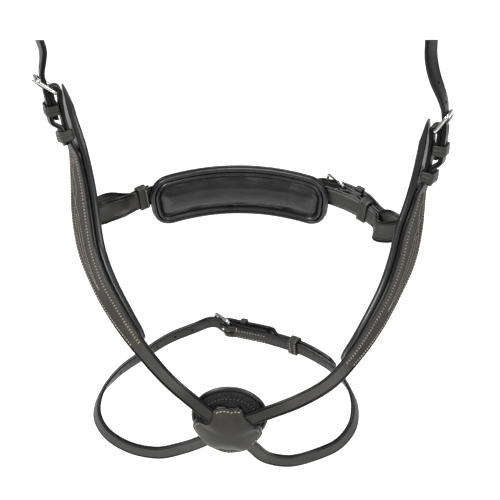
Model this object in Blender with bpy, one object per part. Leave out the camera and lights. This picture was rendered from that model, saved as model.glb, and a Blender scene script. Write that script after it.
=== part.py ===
"""Mexican (figure-eight) noseband with its two cheek pieces, as it hangs on a horse's head.

Metres, +Z up, +X to the right of someone facing the noseband, +Y away from that person.
The origin is the middle of the head, halfway between the two cut ends of the headpiece.
Sizes are in millimetres. Routes start from the middle of the nose pad and are moved to the origin.
"""
import math

import bmesh
import bpy
import numpy as np

MM = 0.001
NOSE_TO_CROWN = (2.7, 170.7, 294.7)     # from the nose pad to the origin

# Leather
GAP = 0.3                               # between pieces that touch
LAID = 0.5                              # between layers of strap that lie on each other
EASE = 0.5                              # of a strap in a slot, keeper or buckle
CROSS_THICK = 3.6
CROSS_WIDTH = 13.0
CROWN_THICK = 4.4                       # two layers, sewn
CROWN_WIDTH = 15.0
JAW_THICK = 2.6
JAW_WIDTH = 20.0
EDGE_BEVEL = 0.7
LINING_THICK = 7.0
LINING_BEVEL = 2.4
LINING_GAP = 0.5
LINING_PROUD = 3.0                      # of the rolled lining past the front edge of the face
KEEPER_THICK = 1.8
HOLE_ACROSS = 3.0
TIP_LENGTH = 10.0
STEP = 6.0                              # between the sections of a strap

# Buckles
WIRE = 1.6                              # radius of a buckle's wire
TONGUE_WIRE = 1.1
FRAME_EASE = 1.0                        # between a strap's edge and the buckle's side
FRAME_CORNER = 3.2
BAR_EASE = 0.5                          # of the leather round the pivot bar
FAR_BAR = (19.0, 8.0)                   # along the strap and outward, from the pivot bar
TONGUE_HOLE = (-1.5, 12.5)              # along the billet, from the pivot bar
TONGUE_PAST = 2.0                       # of the tongue's tip past the far bar
TONGUE_ARCH = 1.0
BUCKLE_BEND = 10.0                      # over which a strap rises to a pivot bar

# Nose pad
NOSE_CENTRE = (-2.0, 10.0)              # x and z of the nose pad's middle
COVER_CENTRE = (-3.0, 3.5)
PAD_RADIUS = 34.5
PAD_THICK = 8.0
PAD_EASE = 0.8                          # under the straps that cross it
PAD_SAG = 8.5                           # of the rim behind the middle
PIPING = 2.0
COVER_REACH = 29.0
COVER_THICK = 2.6
TUNNEL_BACK = 6.0                       # the straps' ways under the cover are open towards the pad
TUNNEL_HALF = 52.0                      # along each strap, from the crossing

# Jaw pad
JAW_PAD_MIDDLE = 1.5                    # x of the jaw pad's middle
JAW_PAD_HALF = 88.0
JAW_PAD_HEIGHT = 53.0
JAW_PAD_BACK = 3.0
JAW_PAD_RIM = 5.0
JAW_PAD_DROP = 3.5                      # of the pad's middle below the strap's
JAW_PAD_DROOP = 6.0                     # of its ends below its middle
JAW_PAD_CROWN = 7.0
JAW_PANEL_INSET = 4.5
JAW_CROWN_SPREAD = 13.0                 # over which the crown rises from the panel line
JAW_RIM_ROUND = (0.3, 0.85)             # part of a half round that the rim's section covers
JAW_PAD_CORNER = 20.0

# A station is x, y, z, the azimuth and elevation that the strap's outer face looks to, and its width.
LEFT_CROSS = [
    (-155, 161.2, 254.9, 196, 0, 10),
    (-151.3, 155, 227.4, 201, 2, 15),
    (-144, 143, 197, 209, 4, 23),
    (-141, 134, 169, 215, 8, 29),
    (-139, 121, 140, 218, 12, 34),
    (-134, 103, 115, 219, 13, 33),
    (-121, 77, 95, 224, 14, 27),
    (-104, 52, 79, 236, 22, 21),
    (-80, 24, 60, 249, 34, 15),
    (-55, 2, 43, 262, 38, 13),
    (-31, -14, 31, 268, 20, 13),
    (-2, -24.6, 9, 270, 0, 13),
    (17, -15, -19, 272, 0, 13),
    (31, -5, -44, 282, 0, 13),
    (52, 5, -58, 290, 4, 13),
    (78, 20, -63, 302, 8, 13),
    (99, 42, -69, 318, 14, 13),
    (111, 66, -68, 345, 24, 13),
    (112, 90, -62, 10, 26, 13),
    (98, 120, -55, 40, 14, 13),
    (70, 146, -51, 58, 4, 13),
    (30, 170, -53, 64, 0, 13),
    (-14, 189, -57, 68, 0, 13),
    (-34, 198, -58, 70, 0, 13),
]
RIGHT_CROSS = [
    (178.6, 157.5, 221, 345, 0, 10),
    (177.3, 152, 202.3, 343, 0, 12),
    (174, 145, 180, 339, 0, 15),
    (169, 136, 150, 331, 4, 22),
    (163, 124, 121, 324, 6, 33),
    (157, 110, 97, 321, 5, 33),
    (146, 92, 75, 317, 6, 26),
    (128, 66, 53, 312, 18, 20),
    (109, 40, 39, 308, 28, 15),
    (88, 17, 29, 292, 44, 13),
    (61, 0, 23, 284, 38, 13),
    (33, -13, 20, 276, 20, 13),
    (-2, -20, 9, 270, 0, 13),
    (-26, -13, -15, 268, 0, 13),
    (-48, -1, -37, 256, 0, 13),
    (-72, 10, -54, 248, 4, 13),
    (-102, 26, -62, 236, 8, 13),
    (-126, 49, -64, 212, 16, 13),
    (-136, 74, -64, 186, 26, 13),
    (-134, 98, -61, 160, 26, 13),
    (-121, 123, -58, 140, 14, 13),
    (-97, 151, -57, 130, 4, 13),
    (-70, 177, -56, 128, 0, 13),
    (-48, 191, -56, 118, 0, 13),
]
LEFT_CROWN = [(-158.4, 162.8, 262, 195, 0), (-162.3, 165.2, 273.5, 198, 0), (-166.1, 167.8, 283.1, 205, 0),
              (-168.7, 170, 291.7, 210, 0)]
RIGHT_CROWN = [(179.8, 159, 229.4, 344, 0), (178.6, 161, 240.9, 337, 0),
               (175.9, 164, 260, 323, 0), (174.8, 167, 277.5, 319, 0), (175, 170, 291.7, 319, 0)]
JAW = [(134, 151, 108, 46, 0), (120, 164, 112, 56, 0), (102, 176, 115, 64, 0), (84, 184, 117, 72, 0),
       (44, 193, 120, 84, 0), (2, 196, 121, 90, 0), (-40, 193, 120, 96, 0), (-80, 185, 116, 106, 0),
       (-105, 170, 113, 116, 0)]

# Places, as distances along a route
LINING_START = 1.0
LINING_TAPER = 22.0                     # over which the roll grows from its tip at the cheek's top
LEFT_LINING_END = 256.5
RIGHT_LINING_END = 246.0
LEFT_NECK = 65.0                        # where the cheek's face narrows to the strap's top end
RIGHT_NECK = 71.0
NECK_LENGTH = 12.0
NECK_LIFT = 2.4                         # of the top end over the cheek's line, for a keeper's wall
LEFT_BAR = 5.0                          # of the pivot bar below the cheek's top
RIGHT_BAR = 10.0
LEFT_KEEPERS = (16.5, 42.5)             # below the pivot bar
RIGHT_KEEPERS = (17.0, 43.0)
LEFT_FAR_BAR = (15.0, 14.5)
RIGHT_FAR_BAR = (17.0, 11.0)
LEFT_FAR_EASE = 3.5                     # of the billet under the far bar
LEFT_TONGUE_HOLE = (-5.0, 9.5)
RIGHT_TONGUE_HOLE = (-4.5, 13.5)
HEADPIECE_HOLES = (26.0, 46.0, 66.0)    # above the pivot bar
CROWN_RETURN = 26.0
CROWN_DIVE = 8.0                        # over which the billet comes down past the chape's end
CROWN_TIP = 8.0                         # of the billet past its runner
STRAIGHT_END = 4.0                      # of the headpiece at its cut
CUT_NORMAL = (0.0, 0.515, 0.8572)   # both headpiece ends are cut by one slanting plane
CUT_POINT = (174.9, 170.0, 295.1)
LEFT_JAW_SLOT = 124.5                   # from the cheek's top
RIGHT_JAW_SLOT = 111.0
JAW_BAR = 48.0
JAW_CHAPE_LIFT = 4.8                    # over the strap's inner layer at the buckle
JAW_RETURN = 18.0
JAW_TIP = 54.0
JAW_TONGUE_HOLE = (-5.0, 12.5)
JAW_LAP_END = 26.5
JAW_BILLET_SEAT = 100.0
LEFT_JAW_LAP = 27.0
LEFT_JAW_KEEPER = 18.5
RIGHT_JAW_KEEPER = 21.0
LEFT_JAW_SAG = (1.0, 2.0, 2.5)          # of the front layer, towards the slot
RIGHT_JAW_SAG = (6.0, 5.0, 2.0)
JAW_BACK_RISE = 5.0                     # of the back layer
CHIN_BAR_FROM_END = 22.0
CHIN_RETURN = 42.0
CHIN_KEEPER_FAR = 74.0
CHIN_TIP = 122.0
CHIN_HOLES = (4.0, 58.0, 98.0)
KEEPER_NEAR = 13.5
KEEPER_SHORT = 7.0
KEEPER_LONG = 10.0
CROSSING_BACK = -20.0                   # depth of the right strap in the middle of the nose
CROSSING_FRONT = -24.6                  # depth of the left strap, which lies over it
EXIT_SPREAD = 26.0
STRAP_EXITS = ((136, 0.2, 11.0), (25, 0.2, 8.5), (-141, 0.09, 5.2), (-49, 0.09, 8.0))


def mix(a, b, share):
    return a + (b - a) * share


def unit(vector):
    return vector / np.linalg.norm(vector)


def smooth(keys, step):
    """Rows along a smooth curve through the keys, whose first three numbers are a point."""
    keys = np.asarray(keys, float)
    chord = np.linalg.norm(np.diff(keys[:, :3], axis=0), axis=1)
    slope = np.diff(keys, axis=0) / chord[:, None]
    tangent = np.empty_like(keys)
    tangent[0], tangent[-1] = slope[0], slope[-1]
    for i in range(1, len(keys) - 1):
        before, after = chord[i - 1], chord[i]
        tangent[i] = (slope[i - 1] * after + slope[i] * before) / (before + after)
    rows = []
    for i, length in enumerate(chord):
        count = max(1, round(length / step))
        for k in range(count):
            u = k / count
            bend = (u ** 3 - 2 * u ** 2 + u) * tangent[i] + (u ** 3 - u ** 2) * tangent[i + 1]
            rows.append((2 * u ** 3 - 3 * u ** 2 + 1) * keys[i] + (3 * u ** 2 - 2 * u ** 3) * keys[i + 1]
                        + bend * length)
    rows.append(keys[-1])
    return np.array(rows)


def station(x, y, z, azimuth, elevation, width):
    """A key: the point, the way its outer face looks, and the strap's width there."""
    a, e = math.radians(azimuth), math.radians(elevation)
    return np.array([x, y, z, math.cos(a) * math.cos(e), math.sin(a) * math.cos(e), math.sin(e), width])


class Route:
    """A strap's way, with its outer face and width, read at a distance along it."""

    def __init__(self, keys):
        self.rows = smooth(keys, 1.0)
        steps = np.linalg.norm(np.diff(self.rows[:, :3], axis=0), axis=1)
        self.along = np.concatenate([[0.0], np.cumsum(steps)])
        self.length = self.along[-1]

    def row(self, s):
        inside = min(max(s, 0.0), self.length)
        row = np.array([np.interp(inside, self.along, column) for column in self.rows.T])
        ahead = self.rows[-1, :3] - self.rows[-4, :3] if s > 0 else self.rows[3, :3] - self.rows[0, :3]
        row[:3] += unit(ahead) * (s - inside)
        return row

    def frame(self, s):
        """Point, way along, way out of the face, and way across."""
        along = unit(self.row(s + 0.8)[:3] - self.row(s - 0.8)[:3])
        row = self.row(s)
        out = row[3:6] - along * (row[3:6] @ along)
        out = unit(out)
        return row[:3], along, out, np.cross(along, out)

    def width(self, s):
        return self.row(s)[6]

    def point(self, s, lift=0.0, across=0.0):
        centre, _, out, side = self.frame(s)
        return centre + out * lift + side * across

    def key(self, s, lift, width):
        """A key for another strap that lies on this route, raised from it."""
        _, _, out, _ = self.frame(s)
        return np.concatenate([self.point(s, lift), out, [width]])


def run(*knots):
    """Places along a route with their lift, easing from one (place, lift) knot to the next."""
    places = []
    for (s0, lift0), (s1, lift1) in zip(knots, knots[1:]):
        count = max(6 if lift0 != lift1 else 1, math.ceil(abs(s1 - s0) / STEP))
        for k in range(count):
            u = k / count
            places.append((mix(s0, s1, u), mix(lift0, lift1, u * u * (3 - 2 * u))))
    places.append(knots[-1])
    return places


def turn(s, low, high):
    """The half round that a strap makes at place s from one lift to another."""
    radius = (high - low) / 2
    angles = [-math.pi / 2 + math.pi * k / 7 for k in range(1, 7)]
    return [(s + radius * math.cos(a), (low + high) / 2 + radius * math.sin(a)) for a in angles]


def lay(route, places, width=None, across=0.0, way=1):
    """Rows of a ribbon (centre, way across, width) at places along a route; way -1 runs against it."""
    rows = []
    for s, lift in places:
        _, _, _, side = route.frame(s)
        rows.append(np.concatenate([route.point(s, lift, across), side * way,
                                    [route.width(s) if width is None else width]]))
    return rows


def make(name, verts, faces, material, pivot=None):
    """One named solid from millimetre points; a moving one has its origin on its pivot."""
    origin = np.zeros(3) if pivot is None else (np.asarray(pivot) - NOSE_TO_CROWN) * MM
    points = (np.asarray(verts) - NOSE_TO_CROWN) * MM - origin
    mesh = bpy.data.meshes.new(name)
    mesh.from_pydata([tuple(p) for p in points], [], faces)
    bm = bmesh.new()
    bm.from_mesh(mesh)
    bmesh.ops.recalc_face_normals(bm, faces=bm.faces)
    if bm.calc_volume(signed=True) < 0:
        bmesh.ops.reverse_faces(bm, faces=bm.faces)
    bm.to_mesh(mesh)
    bm.free()
    mesh.shade_smooth()
    mesh.set_sharp_from_angle(angle=math.radians(35))
    mesh.materials.append(material)
    solid = bpy.data.objects.new(name, mesh)
    solid.location = origin
    bpy.context.collection.objects.link(solid)
    return solid


def loops_to_faces(count, size, closed):
    """Side faces between rings of equal size, with end faces where the run of rings is open."""
    faces = []
    for i in range(count if closed else count - 1):
        j = (i + 1) % count
        for k in range(size):
            m = (k + 1) % size
            faces.append((i * size + k, i * size + m, j * size + m, j * size + k))
    if not closed:
        faces.append(tuple(range(size - 1, -1, -1)))
        faces.append(tuple((count - 1) * size + k for k in range(size)))
    return faces


def strap_section(width, thick, bevel):
    """Points (across, out) round a flat strap with bevelled edges."""
    w, t = width / 2, thick / 2
    return [(-w, -t + bevel), (-w + bevel, -t), (w - bevel, -t), (w, -t + bevel),
            (w, t - bevel), (w - bevel, t), (-w + bevel, t), (-w, t - bevel)]


def roll_section(width, thick, bevel):
    """Points (across, out) round a padded strap with rolled edges."""
    w, t, b = width / 2, thick / 2, bevel
    corner = [(0.0, 1.0), (0.3, 0.35), (1.0, 0.0)]
    points = [(-w + b * p, -t + b * q) for p, q in corner]
    points += [(w - b * p, -t + b * q) for p, q in reversed(corner)]
    points += [(w - b * p, t - b * q) for p, q in corner]
    points += [(-w + b * p, t - b * q) for p, q in reversed(corner)]
    return points


def sweep(rows, thick, section=strap_section, bevel=EDGE_BEVEL):
    """Rings of a ribbon whose rows hold its centre, way across and width."""
    centres = np.array([row[:3] for row in rows])
    verts = []
    for i, row in enumerate(rows):
        ahead = centres[min(i + 1, len(rows) - 1)]
        behind = centres[max(i - 1, 0)]
        along = unit(ahead - behind)
        side = unit(row[3:6] - along * (row[3:6] @ along))
        out = np.cross(side, along)
        verts += [row[:3] + side * a + out * b for a, b in section(row[6], thick, bevel)]
    return verts


def ribbon(name, rows, thick, material, section=strap_section, bevel=EDGE_BEVEL):
    verts = sweep(rows, thick, section, bevel)
    size = len(section(10.0, thick, bevel))
    return make(name, verts, loops_to_faces(len(rows), size, False), material)


def pointed(rows):
    """Rows whose last stretch narrows to a strap's tip."""
    rows = [row.copy() for row in rows]
    left = 0.0
    for i in range(len(rows) - 1, 0, -1):
        share = max(0.0, 1 - left / TIP_LENGTH)
        rows[i][6] *= 1 - 0.6 * share ** 2
        left += np.linalg.norm(rows[i][:3] - rows[i - 1][:3])
    return rows


def cut(solid, shapes):
    """Subtract closed shapes, given as (points, faces), from a solid."""
    verts, faces = [], []
    for points, sides in shapes:
        faces += [tuple(len(verts) + k for k in side) for side in sides]
        verts += list(points)
    cutter = make(solid.name + "_cutter", verts, faces, solid.data.materials[0])
    cutter.hide_render = True
    cutter.display_type = 'WIRE'
    boolean = solid.modifiers.new("cut", 'BOOLEAN')
    boolean.operation = 'DIFFERENCE'
    boolean.solver = 'EXACT'
    boolean.object = cutter


def prism(route, s, outline, low, high):
    """A cutter across a strap: an outline of (along, across) points between two lifts."""
    centre, along, out, side = route.frame(s)
    flat = [centre + along * a + side * b for a, b in outline]
    points = [p + out * low for p in flat] + [p + out * high for p in flat]
    return points, loops_to_faces(2, len(outline), False)


def slot_outline(start, end, across):
    """A round-ended slot from start to end along a strap."""
    r = across / 2
    angles = [math.pi * k / 5 for k in range(6)]
    left = [(start + r - r * math.sin(a), r * math.cos(a)) for a in angles]
    right = [(end - r + r * math.sin(a), -r * math.cos(a)) for a in angles]
    return left + right


def punch(route, s, lift=0.0):
    """A punched hole through the strap at place s."""
    reach = 4.0
    return prism(route, s, slot_outline(-HOLE_ACROSS / 2, HOLE_ACROSS / 2, HOLE_ACROSS), lift - reach,
                 lift + reach)


class Buckling:
    """How a chape, a billet and a buckle lie at one place on a route.

    The chape comes from the start of the route, goes round the pivot bar and back over itself.
    The billet comes from the far side, under the far bar, over the pivot bar and under the keepers;
    room is what it leaves over the chape for the inner wall of a keeper that is sewn on there,
    and inner is what the chape's own two layers leave for one.
    """

    def __init__(self, route, place, chape, billet, base=0.0, room=0.0, inner=0.0, far_bar=FAR_BAR,
                 far_ease=EASE, hole=TONGUE_HOLE):
        self.route, self.place, self.chape, self.billet, self.base = route, place, chape, billet, base
        self.far, self.rise = far_bar
        self.tilt = math.atan2(self.rise, self.far)
        self.hole = hole
        self.radius = WIRE + BAR_EASE + chape / 2
        self.bar = base + (chape + LAID + inner) / 2
        self.back = base + chape + LAID + inner
        self.over = self.back + (chape + billet) / 2 + LAID + room
        self.crest = max(self.over, self.bar + self.radius + (chape + billet) / 2 + LAID)
        self.under = self.bar + self.rise - WIRE - far_ease - billet / 2
        self.bottom = self.over - billet / 2
        self.top = self.over + billet / 2

    def chape_places(self, start, sewn):
        low, high = self.bar - self.radius, self.bar + self.radius
        bend = self.place - BUCKLE_BEND
        return (run((start, self.base), (bend, self.base), (self.place, low)) + turn(self.place, low, high)
                + run((self.place, high), (bend, self.back), (self.place - sewn, self.back)))

    def billet_places(self, tip, sewn, low=None, dive=BUCKLE_BEND):
        """From under the far bar to the tip, over a chape that is sewn back so far.

        Past the chape's end it comes down to the lift low over the length dive.
        """
        end = self.place - sewn - WIRE
        low = self.back if low is None else low
        return run((self.place + self.far, self.under), (self.place, self.crest),
                   (self.place - BUCKLE_BEND, self.over), (end, self.over), (end - dive, low), (tip, low))

    def chape_slot(self):
        half = TONGUE_WIRE + EASE
        reach = self.radius + self.chape
        outline = [(-reach, -half), (reach, -half), (reach, half), (-reach, half)]
        return prism(self.route, self.place, outline, self.bar - reach, self.bar + reach)

    def tongue_hole(self):
        return prism(self.route, self.place, slot_outline(*self.hole, 2 * (TONGUE_WIRE + EASE)),
                     self.bar, self.crest + self.billet)

    def pivot(self):
        return self.route.point(self.place, self.bar)

    def frame(self, name, width, material):
        """The buckle's frame: a rounded wire ring, rising to its far bar."""
        half = width / 2 + FRAME_EASE + WIRE
        corner = FRAME_CORNER
        length = math.hypot(self.far, self.rise)
        outline = []
        for s, w, start in ((corner, half - corner, 90), (corner, corner - half, 180),
                            (length - corner, corner - half, 270), (length - corner, half - corner, 0)):
            for k in range(5):
                a = math.radians(start + 22.5 * k)
                outline.append((s + corner * math.cos(a), w + corner * math.sin(a)))
        path = [self.tilted(s, 0.0, w) for s, w in outline]
        return tube(name, path, WIRE, material, True, self.pivot())

    def tongue(self, name, material):
        """The tongue: a wire curled round the pivot bar, whose tip rests on the far bar."""
        curl = WIRE + BAR_EASE + TONGUE_WIRE
        path = [self.tilted(curl * math.cos(math.radians(a)), curl * math.sin(math.radians(a)), 0)
                for a in range(345, 100, -25)]
        rest = WIRE + GAP + TONGUE_WIRE
        length = math.hypot(self.far, self.rise) + TONGUE_PAST
        for k in range(7):
            u = k / 6
            path.append(self.tilted(length * u, mix(curl, rest, u) + TONGUE_ARCH * math.sin(math.pi * u), 0))
        return tube(name, path, TONGUE_WIRE, material, False, self.pivot())

    def tilted(self, s, out, w):
        """A point in the buckle's own plane, which leans outward from the strap about the pivot bar."""
        c, n = math.cos(self.tilt), math.sin(self.tilt)
        centre, along, outward, side = self.route.frame(self.place)
        return centre + along * (s * c - out * n) + outward * (self.bar + s * n + out * c) + side * w


def tube(name, path, radius, material, closed, pivot=None, sides=8):
    """A round wire along a path."""
    path = np.array(path)
    count = len(path)
    verts = []
    out = None
    for i in range(count):
        ahead = path[(i + 1) % count] if closed else path[min(i + 1, count - 1)]
        behind = path[i - 1] if closed or i else path[0]
        along = unit(ahead - behind)
        if out is None:
            out = np.cross(along, np.array([0.31, 0.17, 0.93]))
        out = unit(out - along * (out @ along))
        side = np.cross(along, out)
        for k in range(sides):
            a = 2 * math.pi * k / sides
            verts.append(path[i] + radius * (math.cos(a) * out + math.sin(a) * side))
    if closed:
        return make(name, verts, twisted_faces(count, sides, verts), material, pivot)
    return make(name, verts, loops_to_faces(count, sides, False), material, pivot)


def twisted_faces(count, size, verts):
    """Side faces of a closed ring, joined where its last section meets its first."""
    last = np.array(verts[(count - 1) * size:])
    shift = min(range(size), key=lambda k: np.linalg.norm(last[0] - verts[k]))
    faces = loops_to_faces(count, size, True)[:(count - 1) * size]
    for k in range(size):
        m = (k + 1) % size
        faces.append(((count - 1) * size + k, (count - 1) * size + m, (m + shift) % size, (k + shift) % size))
    return faces


def keeper(name, route, place, length, low, high, width, material):
    """A leather loop round the straps that lie between two lifts."""
    inner = (width / 2 + EASE, (high - low) / 2 + EASE / 2)
    outer = (inner[0] + KEEPER_THICK, inner[1] + KEEPER_THICK)
    middle = (low + high) / 2
    verts = []
    for s in (-length / 2, 0.0, length / 2):
        for (w, t), corner in ((outer, 2.0), (inner, 0.7)):
            for x, y, start in ((1, 1, 0), (-1, 1, 90), (-1, -1, 180), (1, -1, 270)):
                for k in range(3):
                    a = math.radians(start + 45 * k)
                    across = x * (w - corner) + corner * math.cos(a)
                    lift = middle + y * (t - corner) + corner * math.sin(a)
                    verts.append(route.point(place + s, lift, across))
    size = 12
    faces = []
    for k in range(size):
        m = (k + 1) % size
        for i in range(2):
            a, b = i * 2 * size, (i + 1) * 2 * size
            faces.append((a + k, b + k, b + m, a + m))
            faces.append((a + size + k, a + size + m, b + size + m, b + size + k))
        faces.append((k, m, size + m, size + k))
        end = 4 * size
        faces.append((end + k, end + size + k, end + size + m, end + m))
    return make(name, verts, faces, material, route.point(place, middle))


def finish(name, colour, roughness, metallic=0.0):
    material = bpy.data.materials.new(name)
    material.use_nodes = True
    shader = material.node_tree.nodes["Principled BSDF"]
    shader.inputs["Base Color"].default_value = (*colour, 1.0)
    shader.inputs["Roughness"].default_value = roughness
    shader.inputs["Metallic"].default_value = metallic
    return material


def rounded_half(x, half, height, corner):
    """Half the height of a round-cornered panel at a distance x from its middle."""
    past = max(0.0, abs(x) - (half - corner))
    return height / 2 - corner + math.sqrt(max(0.0, corner ** 2 - past ** 2))


def pad_drop(x):
    """How far the jaw pad's middle line hangs below the strap's at a distance from the pad's middle."""
    return JAW_PAD_DROP + JAW_PAD_DROOP * (x / JAW_PAD_HALF) ** 2


def panel(name, route, middle, half, height, corner, insets, depth, back, material):
    """A padded panel on the inside of a route: depth(inset) is how far it stands off its back."""
    places = [x for d in insets for x in (d - half, half - d)]
    spread = half - insets[-1]
    places += [mix(-spread, spread, k / 12) for k in range(1, 12)]
    verts = []
    size = 0
    for x in sorted(places):
        drop = pad_drop(x)
        reach = rounded_half(x, half, height, corner)
        across = [reach * (1 - 2 * d / height) for d in insets]
        across = across + [0.0] + [-w for w in reversed(across)]
        ring = []
        for w in across:
            inset = min(reach - abs(w), half - abs(x))
            ring.append(route.point(middle + x, -(back + depth(inset)), w + drop))
        for w in (-reach, 0.0, reach):
            ring.append(route.point(middle + x, -back, w * 0.98 + drop))
        size = len(ring)
        verts += ring
    return make(name, verts, loops_to_faces(len(places), size, False), material)


def cushion_depth(inset):
    """How far the jaw cushion stands off its backing at a distance in from its edge."""
    if inset < JAW_PANEL_INSET:
        return JAW_PAD_RIM * math.sin(math.pi * mix(*JAW_RIM_ROUND, inset / JAW_PANEL_INSET))
    base = JAW_PAD_RIM * math.sin(math.pi * JAW_RIM_ROUND[1])
    rise = min(1.0, (inset - JAW_PANEL_INSET) / JAW_CROWN_SPREAD)
    return base + JAW_PAD_CROWN * math.sin(math.pi / 2 * rise)


def panel_outline(half, height, corner):
    """Points (along, across) round a panel, evenly enough for a piping tube."""
    points = []
    for x, y, start in ((1, 1, 0), (-1, 1, 90), (-1, -1, 180), (1, -1, 270)):
        for k in range(6):
            a = math.radians(start + 18 * k)
            points.append((x * (half - corner) + corner * math.cos(a),
                           y * (height / 2 - corner) + corner * math.sin(a)))
        if x * y > 0:
            length = 2 * (half - corner)
            points += [(x * (half - corner - length * k / 12), y * height / 2) for k in range(1, 12)]
    return points


def nose_front(r):
    """Depth (y) of the nose pad's front face at a distance from its middle."""
    return CROSSING_BACK + CROSS_THICK / 2 + PAD_EASE + PAD_SAG * (r / PAD_RADIUS) ** 2


def nose_front_at(x, z):
    return nose_front(math.hypot(x - NOSE_CENTRE[0], z - NOSE_CENTRE[1]))


def turned(name, profile, count, material):
    """A solid turned about the nose pad's axis from (radius, y) points, first and last on the axis."""
    x, z = NOSE_CENTRE
    verts = [(x, profile[0][1], z)]
    for r, y in profile[1:-1]:
        verts += [(x + r * math.cos(2 * math.pi * k / count), y, z + r * math.sin(2 * math.pi * k / count))
                  for k in range(count)]
    verts.append((x, profile[-1][1], z))
    faces = []
    last = len(verts) - 1
    rings = len(profile) - 2
    for k in range(count):
        m = (k + 1) % count
        faces.append((0, 1 + k, 1 + m))
        for i in range(rings - 1):
            a, b = 1 + i * count, 1 + (i + 1) * count
            faces.append((a + k, b + k, b + m, a + m))
        faces.append((last, 1 + (rings - 1) * count + m, 1 + (rings - 1) * count + k))
    return make(name, verts, faces, material)


def cover_edge(angle):
    """The cover's reach at an angle, and how far its edge stands over the pad there."""
    reach, rise = COVER_REACH, COVER_THICK
    for exit_angle, scallop, lift in STRAP_EXITS:
        off = (angle - exit_angle + 180) % 360 - 180
        near = math.exp(-(off / EXIT_SPREAD) ** 2)
        reach -= COVER_REACH * scallop * near
        rise += lift * near
    return reach, rise


def nose_cover(name, straps, material):
    """The bulged leather cover over the crossing, open where the four straps come out."""
    x, z = COVER_CENTRE
    count, shares = 48, (0.25, 0.5, 0.72, 0.88, 0.96, 1.0)
    crown = CROSSING_FRONT - CROSS_THICK / 2 - GAP - COVER_THICK
    verts = [(x, crown, z)]
    for share in shares:
        for k in range(count):
            angle = 360 * k / count
            reach, rise = cover_edge(angle)
            a = math.radians(angle)
            edge = nose_front_at(x + reach * math.cos(a), z + reach * math.sin(a)) - GAP - rise
            drop = EDGE_BEVEL if share == 1.0 else 0.0
            y = mix(crown, edge, share ** 2.4) + drop
            verts.append((x + reach * share * math.cos(a), y, z + reach * share * math.sin(a)))
    for share in reversed(shares[1:]):
        for k in range(count):
            a = math.radians(360 * k / count)
            reach = cover_edge(360 * k / count)[0] * share
            px, pz = x + reach * math.cos(a), z + reach * math.sin(a)
            verts.append((px, nose_front_at(px, pz) - 2 * GAP, pz))
    verts.append((x, nose_front_at(x, z) - 2 * GAP, z))
    faces = []
    rings = 2 * len(shares) - 1
    for k in range(count):
        m = (k + 1) % count
        faces.append((0, 1 + k, 1 + m))
        for i in range(rings - 1):
            a, b = 1 + i * count, 1 + (i + 1) * count
            faces.append((a + k, b + k, b + m, a + m))
        faces.append((len(verts) - 1, 1 + (rings - 1) * count + m, 1 + (rings - 1) * count + k))
    cover = make(name, verts, faces, material)
    for route in straps:
        middle = min(range(int(route.length)),
                     key=lambda s: np.linalg.norm(route.point(s) - (x, CROSSING_BACK, z)))
        lift = -TUNNEL_BACK / 2
        rows = lay(route, run((middle - TUNNEL_HALF, lift), (middle + TUNNEL_HALF, lift)))
        for row in rows:
            row[6] += 2 * GAP
        points = sweep(rows, CROSS_THICK + 2 * GAP + TUNNEL_BACK)
        cut(cover, [(points, loops_to_faces(len(rows), 8, False))])
    return cover


def cut_block(route):
    """The block that takes off a headpiece strap above the plane of its cut."""
    normal = unit(np.array(CUT_NORMAL))
    end = route.point(route.length)
    foot = end + normal * ((np.array(CUT_POINT) - end) @ normal)
    u = unit(np.cross(normal, (1.0, 0.0, 0.0)))
    v = np.cross(normal, u)
    reach = 3 * CROWN_WIDTH
    corners = [(-reach, -reach), (reach, -reach), (reach, reach), (-reach, reach)]
    low = [foot + u * a + v * b for a, b in corners]
    return low + [p + normal * reach for p in low], loops_to_faces(2, 4, False)


def slot_rows(cheek, place, rear, sag):
    """The jaw strap's way through a cheek piece, from its front layer to its back layer.

    It goes out through a slot in the lining, rearwards between lining and face, and back in
    round the rear edge. Each row is a place in the cheek's own frame: towards the rear, and out.
    """
    centre, along, out, side = cheek.frame(place)
    channel = -(CROSS_THICK / 2 + LINING_GAP + JAW_THICK / 2)
    inside = -(CROSS_THICK / 2 + LINING_GAP + LINING_THICK + GAP + JAW_THICK / 2)
    bend = (channel - inside) / 2
    edge = cheek.width(place) / 2 - 1.0
    turn_at = edge - bend / 2
    way = [(-2.0, -36, sag[0]), (-2.0, -27, sag[1]), (-2.0, -18, sag[2]), (-2.0, -12, 0), (-2.0, -8.5, 0),
           (-0.9, channel - 1.3, 0), (1.6, channel, 0), (6, channel, 0), (turn_at - 2.5, channel, 0),
           (turn_at, channel, 0)]
    for k in range(1, 6):
        a = math.pi / 2 - math.pi * k / 6
        way.append((turn_at + bend * math.cos(a), (channel + inside) / 2 + bend * math.sin(a), 0))
    way += [(turn_at, inside, 0), (turn_at - 3.5, inside - 0.6, 0), (turn_at - 6.0, inside - 4.0, 0),
            (turn_at - 6.5, inside - 10, -JAW_BACK_RISE / 2), (turn_at - 6.5, inside - 20, -JAW_BACK_RISE)]
    return [np.concatenate([centre + side * rear * v + out * n + along * d, along, [JAW_WIDTH]])
            for v, n, d in way]


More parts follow.
